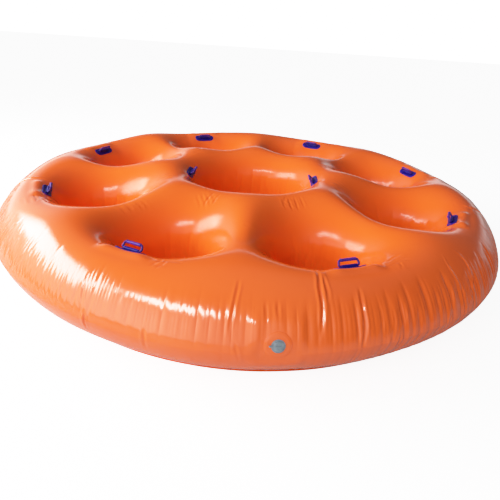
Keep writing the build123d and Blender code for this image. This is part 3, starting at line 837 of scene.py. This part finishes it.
def floor_sheet(name, centre, reach, holes, seed):
    """A round floor, dished a little, with its holes. reach: radius per column."""
    angle = np.arange(len(reach)) / len(reach) * TAU
    t = np.linspace(0.02, 1, 26)[:, None]
    rho = reach[None, :] * t
    x, y = centre[0] + rho * np.cos(angle), centre[1] + rho * np.sin(angle)
    waves = np.clip(sheet_waves(x, y, seed, 0.0011, 26.0), -0.0012, 0.0016)
    z = 0.0030 + 0.0016 * t**3 + waves * (1 - t**6)
    z = z + 0.0011 * np.exp(-(((t - 0.93) / 0.03) ** 2))    # raised ring near the edge
    points, faces = sheet_solid(np.stack([x, y, z], -1), 0.0016)
    ob = new_object(name, points, faces.tolist())
    cap_middle(ob, len(reach))
    cut_holes(ob, holes)
    return ob


def build_floors():
    for k, angle in enumerate(WELL_ANGLES):
        turn = np.arange(120) / 120 * TAU - angle
        reach = throat_radius(np.cos(turn), np.sin(turn)) + 0.080
        axis = SEAT_RIM.axis
        holes = four_holes(axis * math.cos(angle), axis * math.sin(angle), 0.15)
        ob = floor_sheet(f"seat_floor_sheet_{k + 1}", well_centre(angle), reach, holes, 60 + k)
        register(ob, "chamber", "skin")
    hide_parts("seat_floors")
    reach = np.full(160, CENTRE_RADIUS + 0.078)
    ob = floor_sheet("centre_floor_sheet", (0, 0), reach, four_holes(0, 0, 0.26), 75)
    register(ob, "chamber", "skin", "centre_floor")


for number in range(1, 5):
    build_base_sheet(number)
build_floors()


# ------------------------------------------------------------------ patches laid on a section
def lay(points, place):
    """Lay points (across, along, height) on the place's section, found by halving."""
    base = place.origin + points[:, :1] * place.across + points[:, 1:2] * place.along
    low = np.full(len(points), -0.05)
    high = np.full(len(points), 0.05)
    section = place.section
    for _ in range(26):
        middle = (low + high) / 2
        p = base + middle[:, None] * place.normal
        rho = np.hypot(p[:, 0] - place.axis[0], p[:, 1] - place.axis[1])
        inside = (((section.centre - rho) / section.half_width) ** 2
                  + ((p[:, 2] - MID) / section.half_height) ** 2) < 1
        low = np.where(inside, middle, low)
        high = np.where(inside, high, middle)
    return base + (low + points[:, 2])[:, None] * place.normal


def stadium(length, width, count):
    """Outline of a slot shape."""
    r = width / 2
    h = length / 2 - r
    perimeter = TAU * r + 4 * h
    out = []
    for i in range(count):
        q = i / count * perimeter
        if q < 2 * h:
            out.append((h - q, r))
        elif q < 2 * h + math.pi * r:
            turn = math.pi / 2 + (q - 2 * h) / r
            out.append((-h + r * math.cos(turn), r * math.sin(turn)))
        elif q < 4 * h + math.pi * r:
            out.append((-h + (q - 2 * h - math.pi * r), -r))
        else:
            turn = -math.pi / 2 + (q - 4 * h - math.pi * r) / r
            out.append((h + r * math.cos(turn), r * math.sin(turn)))
    return np.array(out)


def circle(radius, count):
    turn = np.arange(count) / count * TAU
    return np.stack([radius * np.cos(turn), radius * np.sin(turn)], -1)


def rounded_rect(width, height, count):
    c, s = circle(1.0, count).T
    power = 5.0
    k = (np.abs(c) ** power + np.abs(s) ** power) ** (-1 / power)
    return np.stack([c * k * width / 2, s * k * height / 2], -1)


def laid_patch(name, outline, profile, place, floor=0.0003, relief=(0.0, 1.0), hole=0.0):
    """Closed patch of rings inwards from the outline. profile: (inset, height) pairs;
    floor: height of the underside; relief: depth and pitch of a pattern inside the border."""
    count = len(outline)
    size = np.hypot(outline[:, 0], outline[:, 1])
    depth, pitch = relief

    def ring(scale, height, patterned):
        xy = outline * scale[:, None]
        bumps = depth * np.cos(xy[:, 0] * TAU / pitch) * np.cos(xy[:, 1] * TAU / pitch)
        return np.column_stack([xy, height + bumps * patterned])

    rings = [np.column_stack([outline, np.full(count, floor)])]
    for inset, height in profile:
        rings.append(ring(np.clip(1 - inset / size, 0, 1), height, inset > 0.008))
    inner_inset, inner_height = profile[-1]
    start = np.clip(1 - inner_inset / size, 0, 1)
    target = hole / size
    steps = 14
    for i in range(1, steps + 1):
        rings.append(ring(target + (start - target) * (1 - i / steps), inner_height, True))
    if hole:
        rings.append(np.column_stack([rings[-1][:, :2], np.full(count, floor)]))
    ids = np.arange(len(rings) * count).reshape(len(rings), count)
    faces = ring_quads(ids).tolist()
    if hole:
        faces += ring_quads(np.stack([ids[-1], ids[0]])).tolist()
    else:
        faces.append(ids[0][::-1].tolist())
    ob = new_object(name, lay(np.concatenate(rings), place), faces)
    face_outwards(ob, merge=0.00002)
    return ob


# ------------------------------------------------------------------ handles
PIVOT_HEIGHT = 0.014                # swing axis above the skin
LOOP_HALF = 0.057                   # half length of the strap's loop at the swing axis
LOOP_TOP_HALF = LOOP_HALF - 0.003   # and at the grip
LOOP_HEIGHT = 0.033
LOOP_CORNER = 0.012
STRAP_RADIUS = 0.006
STRAP_AROUND = 20
# pad border: inset, height
PAD_PROFILE = [(0.0, 0.0012), (0.0008, 0.0017), (0.0045, 0.0018), (0.0056, 0.0034),
               (0.0066, 0.0040), (0.0090, 0.0042), (0.0120, 0.0040), (0.0130, 0.0033)]
# foot of the sleeve's section: along, height from the swing axis
SLEEVE_FOOT = [(-0.0075, -0.0085), (-0.0125, -0.0108), (0.0125, -0.0108), (0.0075, -0.0085)]
SLEEVE_RADIUS = 0.0089
# end collar of the grip: distance along, radius
GRIP_COLLAR = [(-0.0430, 0.0064), (-0.0430, 0.0076), (-0.0422, 0.0090), (-0.0408, 0.0092),
               (-0.0392, 0.0092), (-0.0380, 0.0086), (-0.0372, 0.0080)]
# one rib of the grip: distance from the rib's middle, radius
GRIP_RIB = [(-0.0016, 0.0079), (-0.0009, 0.0082), (0.0009, 0.0082), (0.0016, 0.0079)]


def build_sleeve(name, place, pivot):
    """A folded strip over the swing axis, puckered along its length."""
    turns = [math.radians(t) for t in np.linspace(-150, 150, 19)]
    section = [(SLEEVE_RADIUS * math.sin(t), SLEEVE_RADIUS * math.cos(t)) for t in turns]
    section = np.array(section + SLEEVE_FOOT)
    stations = np.concatenate([[-0.0440, -0.0434, -0.0420], np.linspace(-0.040, 0.040, 41),
                               [0.0420, 0.0434, 0.0440]])
    pucker = 1 + 0.018 * np.cos(np.linspace(0, 14 * math.pi, 41))
    scales = np.concatenate([[0.90, 0.97, 1.0], pucker, [1.0, 0.97, 0.90]])
    rings = [
        pivot + x * place.across + (section[:, :1] * k) * place.along
        + (section[:, 1:2] * k) * place.normal
        for x, k in zip(stations, scales)
    ]
    ids = np.arange(len(rings) * len(section)).reshape(len(rings), len(section))
    faces = ring_quads(ids).tolist() + [ids[0][::-1].tolist(), ids[-1].tolist()]
    ob = new_object(name, np.concatenate(rings), faces)
    face_outwards(ob)
    return ob


def build_pad(number, place, pivot):
    pad = laid_patch(f"pad_{number}", stadium(0.184, 0.066, 180), PAD_PROFILE, place,
                     relief=(0.00045, 0.007))
    sleeve = build_sleeve(f"sleeve_{number}", place, pivot)
    ob = joined(f"handle_pad_skin_{number}", [pad, sleeve])
    register(ob, "chamber", "pad")
    return ob


def strap_loop():
    """Evenly spaced points of the loop (across, up), their run along it, and its length."""
    def corner(x, up, first, last):
        turns = np.linspace(math.radians(first), math.radians(last), 8)
        return [(x + LOOP_CORNER * math.cos(t), up + LOOP_CORNER * math.sin(t)) for t in turns]

    low_x = LOOP_HALF - LOOP_CORNER
    top_x = LOOP_TOP_HALF - LOOP_CORNER
    top_up = LOOP_HEIGHT - LOOP_CORNER
    points = [(x, 0.0) for x in np.linspace(-low_x, low_x, 40)]
    points += corner(low_x, LOOP_CORNER, -90, 2)[1:]
    points += corner(top_x, top_up, 4, 90)[1:]
    points += [(x, LOOP_HEIGHT) for x in np.linspace(top_x, -top_x, 40)[1:]]
    points += corner(-top_x, top_up, 90, 176)[1:]
    points += corner(-low_x, LOOP_CORNER, 178, 270)[1:-1]
    loop = np.array(points + points[:1])
    run = np.concatenate([[0], np.cumsum(np.hypot(*np.diff(loop, axis=0).T))])
    steps = 220
    even = np.arange(steps) / steps * run[-1]
    spaced = np.stack([np.interp(even, run, loop[:, 0]), np.interp(even, run, loop[:, 1])], -1)
    return spaced, even, run[-1]


def build_strap(number, place, pivot):
    """A braided loop round the swing axis and the grip."""
    loop, run, total = strap_loop()
    phase = (run / total * round(total / 0.011) * TAU)[:, None]
    angles = np.arange(STRAP_AROUND) / STRAP_AROUND * TAU
    strands = np.abs(np.cos(2 * angles + phase)) + np.abs(np.cos(2 * angles - phase))
    radii = STRAP_RADIUS - 0.0003 + 0.00045 * (strands - 1.0)
    path = pivot + loop[:, :1] * place.across + loop[:, 1:2] * place.normal
    ob = tube(f"handle_strap_weave_{number}", path, radii, STRAP_AROUND, place.along, closed=True)
    register(ob, f"handle_{number}", "webbing", f"handle_strap_{number}")


def build_grip(number, place, pivot):
    """A ribbed tube with a collar at each end."""
    stations = list(GRIP_COLLAR)
    for k in range(17):
        middle = -0.0350 + k * 0.0700 / 16
        stations += [(middle + x, radius) for x, radius in GRIP_RIB]
    stations += [(-x, radius) for x, radius in GRIP_COLLAR[::-1]]
    stations = np.array(stations)
    path = pivot + stations[:, :1] * place.across + LOOP_HEIGHT * place.normal
    # a tiny stretch, so that stations at the same place still have a direction
    path = path + np.linspace(0, 1e-6, len(path))[:, None] * place.across
    ob = tube(f"handle_grip_rubber_{number}", path, stations[:, 1:], 28, place.along)
    register(ob, f"handle_{number}", "grip", f"handle_grip_{number}")


def build_handles():
    for number, (angle, rim) in enumerate(HANDLES, 1):
        axis = (rim.axis * math.cos(angle), rim.axis * math.sin(angle))
        up = section_height(rim.section, rim.rho)
        place = surface_frame(rim.section, angle, rim.rho, up, axis)
        pivot = place.origin + place.normal * PIVOT_HEIGHT
        build_pad(number, place, pivot)
        build_strap(number, place, pivot)
        build_grip(number, place, pivot)
    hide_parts("handle_pads")


build_handles()


# ------------------------------------------------------------------ valve
def build_valve_patch():
    profile = [(0.0002, 0.0007), (0.0012, 0.0010), (0.008, 0.0010), (0.009, 0.0013),
               (0.012, 0.0015)]
    ob = laid_patch("valve_patch_sheet", circle(0.062, 120), profile, VALVE,
                    floor=0.0002, hole=0.0183)
    register(ob, "chamber", "skin", "valve_patch")


def build_valve_spring():
    """The return spring, which shortens as the poppet is pressed."""
    wire, coil_radius, foot, length, turns = 0.00045, 0.0041, -0.0129, 0.0088, 5.4
    t = np.linspace(0, 1, 220)
    # the end coils lie flat
    lift = foot + wire + (length - 2 * wire) * np.clip((t - 0.09) / 0.82, 0, 1)
    angle = t * turns * TAU
    path = (VALVE.origin + lift[:, None] * VALVE.normal
            + (coil_radius * np.cos(angle))[:, None] * VALVE.across
            + (coil_radius * np.sin(angle))[:, None] * VALVE.along)
    ob = tube("valve_spring_coil", path, wire, 12, VALVE.normal)
    register(ob, "chamber", "spring_steel", "valve_spring")
    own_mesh(ob)


build_valve_patch()
build_valve_spring()


# ------------------------------------------------------------------ tow fitting
def build_tow_patch():
    place = SimpleNamespace(
        origin=np.array([0.0, R, MID]), across=np.array([1.0, 0.0, 0.0]),
        along=np.array([0.0, 0.0, 1.0]), normal=np.array([0.0, 1.0, 0.0]),
        section=WALL, axis=(0.0, 0.0))
    profile = [(0.0002, 0.0012), (0.0012, 0.0019), (0.010, 0.0019), (0.0115, 0.0024),
               (0.016, 0.0024), (0.0175, 0.0021)]
    ob = laid_patch("tow_patch_sheet", rounded_rect(0.280, 0.200, 220), profile, place,
                    relief=(0.00025, 0.006))
    register(ob, "chamber", "pad", "tow_patch")


def stitch_line(offset, along, inside):
    """Depth of a line of stitches."""
    line = 0.0004 * np.exp(-((offset / 0.0014) ** 2)) * inside
    return line * (0.6 + 0.4 * np.cos(along * TAU / 0.004))


def build_tow_webbing():
    """A strap folded over the ring's bar, with a boxed stitch above and below."""
    x, z = np.meshgrid(np.linspace(-0.025, 0.025, 26), np.linspace(-0.085, 0.085, 120))
    bulge = 0.0150 * np.exp(-((z / 0.0125) ** 4))
    weave = 0.00022 * np.cos(x * TAU / 0.0042) * np.cos(z * TAU / 0.0042)
    stitch = np.zeros_like(x)
    for box_z in (-0.052, 0.052):
        for side_x in (-0.018, 0.018):
            stitch -= stitch_line(x - side_x, z, np.abs(z - box_z) < 0.026)
        for end_z in (box_z - 0.025, box_z + 0.025):
            stitch -= stitch_line(z - end_z, x, np.abs(x) < 0.019)
    wall_y = np.sqrt(np.clip(section_radius(WALL, z) ** 2 - x**2, 0, None))
    outer_y = wall_y + 0.0058 + weave + stitch + bulge
    inner_y = wall_y + 0.0026
    points = np.concatenate([np.stack([x, y, z + MID], -1).reshape(-1, 3)
                             for y in (outer_y, inner_y)])
    ids = np.arange(x.size).reshape(x.shape)
    corners = [ids[:-1, :-1], ids[:-1, 1:], ids[1:, 1:], ids[1:, :-1]]
    quads = np.stack(corners, -1).reshape(-1, 4)
    edge = np.concatenate([ids[0, :-1], ids[:-1, -1], ids[-1, :0:-1], ids[:0:-1, 0]])
    sides = ring_quads(np.stack([edge, edge + x.size]))
    faces = np.concatenate([quads, quads[:, ::-1] + x.size, sides]).tolist()
    ob = new_object("tow_webbing_strap", points, faces)
    face_outwards(ob)
    register(ob, "chamber", "webbing", "tow_webbing")


build_tow_patch()
build_tow_webbing()


# ------------------------------------------------------------------ node helpers
def add_node(tree, kind, inputs=None, **settings):
    """A node with its settings; each input gets a value or a link from a socket."""
    made = tree.nodes.new(kind)
    for name, value in settings.items():
        setattr(made, name, value)
    for key, value in (inputs or {}).items():
        if isinstance(value, bpy.types.NodeSocket):
            tree.links.new(value, made.inputs[key])
        else:
            made.inputs[key].default_value = value
    return made


def math_node(tree, operation, *values):
    inputs = dict(enumerate(values))
    return add_node(tree, "ShaderNodeMath", inputs, operation=operation).outputs[0]


def ease(tree, value, from_min, from_max, to_min=0.0, to_max=1.0):
    """Smoothstep between two values."""
    inputs = {"Value": value, "From Min": from_min, "From Max": from_max,
              "To Min": to_min, "To Max": to_max}
    made = add_node(tree, "ShaderNodeMapRange", inputs, interpolation_type="SMOOTHSTEP")
    return made.outputs["Result"]


def ramp(tree, factor, stops):
    """A colour ramp with two stops: (position, colour)."""
    made = add_node(tree, "ShaderNodeValToRGB", {"Fac": factor})
    for element, (position, colour) in zip(made.color_ramp.elements, stops):
        element.position = position
        element.color = (*colour, 1)
    return made.outputs["Color"]


def bump(tree, height, strength, distance):
    inputs = {"Strength": strength, "Distance": distance, "Height": height}
    return add_node(tree, "ShaderNodeBump", inputs).outputs["Normal"]


def noise(tree, vector, **inputs):
    return add_node(tree, "ShaderNodeTexNoise", {"Vector": vector, **inputs}).outputs["Fac"]


def object_coords(tree):
    return add_node(tree, "ShaderNodeTexCoord").outputs["Object"]


def new_material(name):
    made = bpy.data.materials.new(name)
    made.use_nodes = True
    return made, made.node_tree, made.node_tree.nodes["Principled BSDF"]


# ------------------------------------------------------------------ materials
def plastic(name, dark, light, rough=0.105, relief=0.30, scale=1.0, specular=0.5):
    """Mottled plastic or rubber with a fine uneven surface."""
    made, tree, shader = new_material(name)
    coords = object_coords(tree)
    mottle = noise(tree, coords, Scale=2.4 * scale, Detail=4.0, Roughness=0.55)
    colour = ramp(tree, mottle, [(0.3, dark), (0.7, light)])
    tree.links.new(colour, shader.inputs["Base Color"])
    fine = noise(tree, coords, Scale=38.0 * scale, Detail=3.0, Roughness=0.5)
    micro = noise(tree, coords, Scale=900.0, Detail=1.0)
    height = math_node(tree, "MULTIPLY_ADD", micro, 0.05, fine)
    normal = bump(tree, height, strength=relief, distance=0.0012)
    tree.links.new(normal, shader.inputs["Normal"])
    roughness = ramp(tree, fine, [(0.25, (rough * 0.75,) * 3), (0.8, (rough * 1.5,) * 3)])
    tree.links.new(roughness, shader.inputs["Roughness"])
    shader.inputs["Specular IOR Level"].default_value = specular
    return made


def skin_material():
    """The outer wall is pulled tighter and shines more than the deck between the wells."""
    made = plastic("pvc_orange", dark=(0.90, 0.120, 0.013), light=(0.94, 0.136, 0.017))
    tree = made.node_tree
    shader = tree.nodes["Principled BSDF"]
    coords = object_coords(tree)
    plan = add_node(tree, "ShaderNodeVectorMath", {0: coords, 1: (1, 1, 0)}, operation="MULTIPLY")
    length = add_node(tree, "ShaderNodeVectorMath", {0: plan.outputs[0]}, operation="LENGTH")
    radius = length.outputs["Value"]
    specular = ease(tree, radius, from_min=1.30, from_max=1.50, to_min=0.28, to_max=0.80)
    tree.links.new(specular, shader.inputs["Specular IOR Level"])
    duller = ease(tree, radius, from_min=1.28, from_max=1.46, to_min=1.2, to_max=1.0)
    plain = shader.inputs["Roughness"].links[0].from_socket
    tree.links.new(math_node(tree, "MULTIPLY", plain, duller), shader.inputs["Roughness"])
    return made


def woven_material():
    made, tree, shader = new_material("woven_blue")
    threads = {"Vector": object_coords(tree), "Scale": 190.0, "Distortion": 1.2}
    waves = [add_node(tree, "ShaderNodeTexWave", threads, bands_direction=direction)
             for direction in "XZ"]
    weave = math_node(tree, "MULTIPLY", *(wave.outputs["Fac"] for wave in waves))
    colour = ramp(tree, weave, [(0.0, (0.040, 0.010, 0.15)), (1.0, (0.095, 0.024, 0.31))])
    shader.inputs["Specular IOR Level"].default_value = 0.25
    tree.links.new(colour, shader.inputs["Base Color"])
    normal = bump(tree, weave, strength=0.5, distance=0.0006)
    tree.links.new(normal, shader.inputs["Normal"])
    shader.inputs["Roughness"].default_value = 0.42
    return made


def steel_material():
    made, tree, shader = new_material("polished_steel")
    shader.inputs["Metallic"].default_value = 1.0
    wear = noise(tree, object_coords(tree), Scale=160.0, Detail=5.0, Roughness=0.6)
    roughness = ramp(tree, wear, [(0.3, (0.12,) * 3), (0.75, (0.32,) * 3)])
    tree.links.new(roughness, shader.inputs["Roughness"])
    colour = ramp(tree, wear, [(0.2, (0.56, 0.57, 0.58)), (0.9, (0.78, 0.79, 0.80))])
    tree.links.new(colour, shader.inputs["Base Color"])
    return made


def floor_material():
    """Pale, and brighter to the camera than to the rest of the scene."""
    made, tree, shader = new_material("pale_floor")
    shader.inputs["Base Color"].default_value = (0.60, 0.60, 0.60, 1)
    shader.inputs["Roughness"].default_value = 0.9
    shader.inputs["Emission Color"].default_value = (1, 1, 1, 1)
    camera_ray = add_node(tree, "ShaderNodeLightPath").outputs["Is Camera Ray"]
    glow = math_node(tree, "MULTIPLY", camera_ray, 1.35)
    tree.links.new(glow, shader.inputs["Emission Strength"])
    return made


skin = skin_material()
navy = plastic("moulded_navy", dark=(0.010, 0.004, 0.17), light=(0.016, 0.008, 0.25),
               rough=0.30, relief=0.2, scale=6.0, specular=0.25)
rubber = plastic("grip_rubber_blue", dark=(0.060, 0.014, 0.20), light=(0.090, 0.022, 0.29),
                 rough=0.28, relief=0.25, scale=9.0, specular=0.3)
grey = plastic("moulded_grey", dark=(0.15, 0.185, 0.21), light=(0.30, 0.35, 0.385),
               rough=0.16, relief=0.25, scale=14.0)
black = plastic("rubber_black", dark=(0.012, 0.012, 0.012), light=(0.02, 0.02, 0.02),
                rough=0.5, relief=0.2, scale=8.0)
woven = woven_material()
steel = steel_material()

SLOT_MATERIALS = {"skin": skin, "pad": navy, "webbing": woven, "grip": rubber,
                  "spring_steel": steel}
# CAD pieces that stay visible
NODE_MATERIALS = {
    "valve_body": grey, "valve_cap": grey, "valve_nut": grey, "valve_poppet": grey,
    "cap_leash": grey, "valve_gasket": black, "valve_spring": steel, "tow_ring": steel,
}


def set_material(ob, made):
    ob.data.materials.clear()
    ob.data.materials.append(made)


for ob, slot in finished:
    set_material(ob, SLOT_MATERIALS[slot])
for name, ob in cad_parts.items():
    if not ob.hide_render and name in NODE_MATERIALS:
        set_material(ob, NODE_MATERIALS[name])


# ------------------------------------------------------------------ floor and world
def build_floor():
    half, z = 40, -0.001
    corners = [[-half, -half, z], [half, -half, z], [half, half, z], [-half, half, z]]
    ob = new_object("floor", np.array(corners, float), [[0, 1, 2, 3]])
    ob.data.materials.append(floor_material())


# brightness of the room's parts; camera: what the camera sees behind the floor
ROOM = dict(left=2.0, front=1.45, top=0.22, back=0.9, base=0.11, camera=2.6)


def build_world():
    """A room bright on the left (-X), open towards the camera (-Y) and dim on the right."""
    world = bpy.data.worlds.new("studio")
    bpy.context.scene.world = world
    world.use_nodes = True
    tree = world.node_tree
    background = tree.nodes["Background"]
    coords = add_node(tree, "ShaderNodeTexCoord").outputs["Generated"]
    axes = add_node(tree, "ShaderNodeSeparateXYZ", {0: coords}).outputs
    x, y, z = axes["X"], axes["Y"], axes["Z"]

    def times(a, b):
        return math_node(tree, "MULTIPLY", a, b)

    def plus(a, b):
        return math_node(tree, "ADD", a, b)

    left = times(times(ease(tree, x, -0.20, -0.95), ease(tree, z, 0.85, 0.30)), ROOM["left"])
    front = times(times(ease(tree, y, 0.1, -0.9), ease(tree, x, 0.75, -0.35)), ROOM["front"])
    front = times(front, ease(tree, z, 0.9, 0.35))
    top = times(ease(tree, z, 0.55, 1.0), ROOM["top"])
    back = times(times(ease(tree, y, 0.2, 0.7), ease(tree, z, 0.20, 0.04)), ROOM["back"])
    level = plus(plus(plus(left, front), plus(top, back)), ROOM["base"])
    camera_ray = add_node(tree, "ShaderNodeLightPath").outputs["Is Camera Ray"]
    mix = add_node(tree, "ShaderNodeMix", {0: camera_ray, 2: level, 3: ROOM["camera"]},
                   data_type="FLOAT")
    background.inputs["Color"].default_value = (1, 1, 1, 1)
    tree.links.new(mix.outputs[0], background.inputs["Strength"])


# ------------------------------------------------------------------ lights
LIGHT_TARGET = Vector((0, -0.4, 0.4))


def softbox(name, azimuth, elevation, distance, width, height, radiance):
    """A rectangular light that fades at its edges. azimuth: degrees from +Y towards +X."""
    a, e = math.radians(azimuth), math.radians(elevation)
    direction = Vector((math.sin(a) * math.cos(e), math.cos(a) * math.cos(e), math.sin(e)))
    light = bpy.data.lights.new(name, "AREA")
    light.shape = "RECTANGLE"
    light.size, light.size_y = width, height
    light.energy = radiance * math.pi * width * height
    light.use_nodes = True
    tree = light.node_tree
    emission = next(n for n in tree.nodes if n.type == "EMISSION")
    parametric = add_node(tree, "ShaderNodeNewGeometry").outputs["Parametric"]
    axes = add_node(tree, "ShaderNodeSeparateXYZ", {0: parametric}).outputs
    fades = []
    for axis in "XY":
        offset = math_node(tree, "MULTIPLY_ADD", axes[axis], 2.0, -1.0)
        fades.append(ease(tree, math_node(tree, "ABSOLUTE", offset), 1.0, 0.45))
    tree.links.new(math_node(tree, "MULTIPLY", *fades), emission.inputs["Strength"])
    ob = bpy.data.objects.new(name, light)
    ob.location = LIGHT_TARGET + direction * distance
    ob.rotation_mode = "QUATERNION"
    ob.rotation_quaternion = direction.to_track_quat("Z", "Y")
    bpy.context.scene.collection.objects.link(ob)


# ------------------------------------------------------------------ camera and tone
def build_camera():
    camera = bpy.data.cameras.new("camera")
    camera.sensor_fit = "HORIZONTAL"
    camera.sensor_width = 36.0
    camera.lens = 32.86
    camera.clip_end = 200
    ob = bpy.data.objects.new("camera", camera)
    bpy.context.scene.collection.objects.link(ob)
    right = Vector((0.9970, 0.0492, 0.0597)).normalized()
    forward = Vector((-0.0181, 0.8991, -0.4374)).normalized()
    up = right.cross(forward).normalized()
    location = Vector((0.0873, -3.3123, 1.5424))
    rows = [(right[i], up[i], -forward[i], location[i]) for i in range(3)]
    ob.matrix_world = Matrix((*rows, (0, 0, 0, 1)))
    bpy.context.scene.camera = ob


WHITE = 2.4                         # scene brightness at the right end of the tone curve
# scene brightness, displayed value
TONE_POINTS = [(0.10, 0.10), (0.30, 0.295), (0.60, 0.56), (0.9, 0.76), (1.3, 0.90), (1.8, 0.975)]


def set_tone():
    view = bpy.context.scene.view_settings
    view.view_transform = "Standard"
    view.look = "None"
    mapping = view.curve_mapping
    view.use_curve_mapping = True
    mapping.white_level = (WHITE,) * 3
    for brightness, shown in TONE_POINTS:
        mapping.curves[3].points.new(brightness / WHITE, shown)
    mapping.update()


build_floor()
build_world()
softbox("softbox_left", azimuth=-94, elevation=24, distance=5.4, width=6.6, height=2.2,
        radiance=13.5)
softbox("softbox_front", azimuth=-151, elevation=33, distance=7.0, width=6.4, height=1.0,
        radiance=19.0)
build_camera()
set_tone()
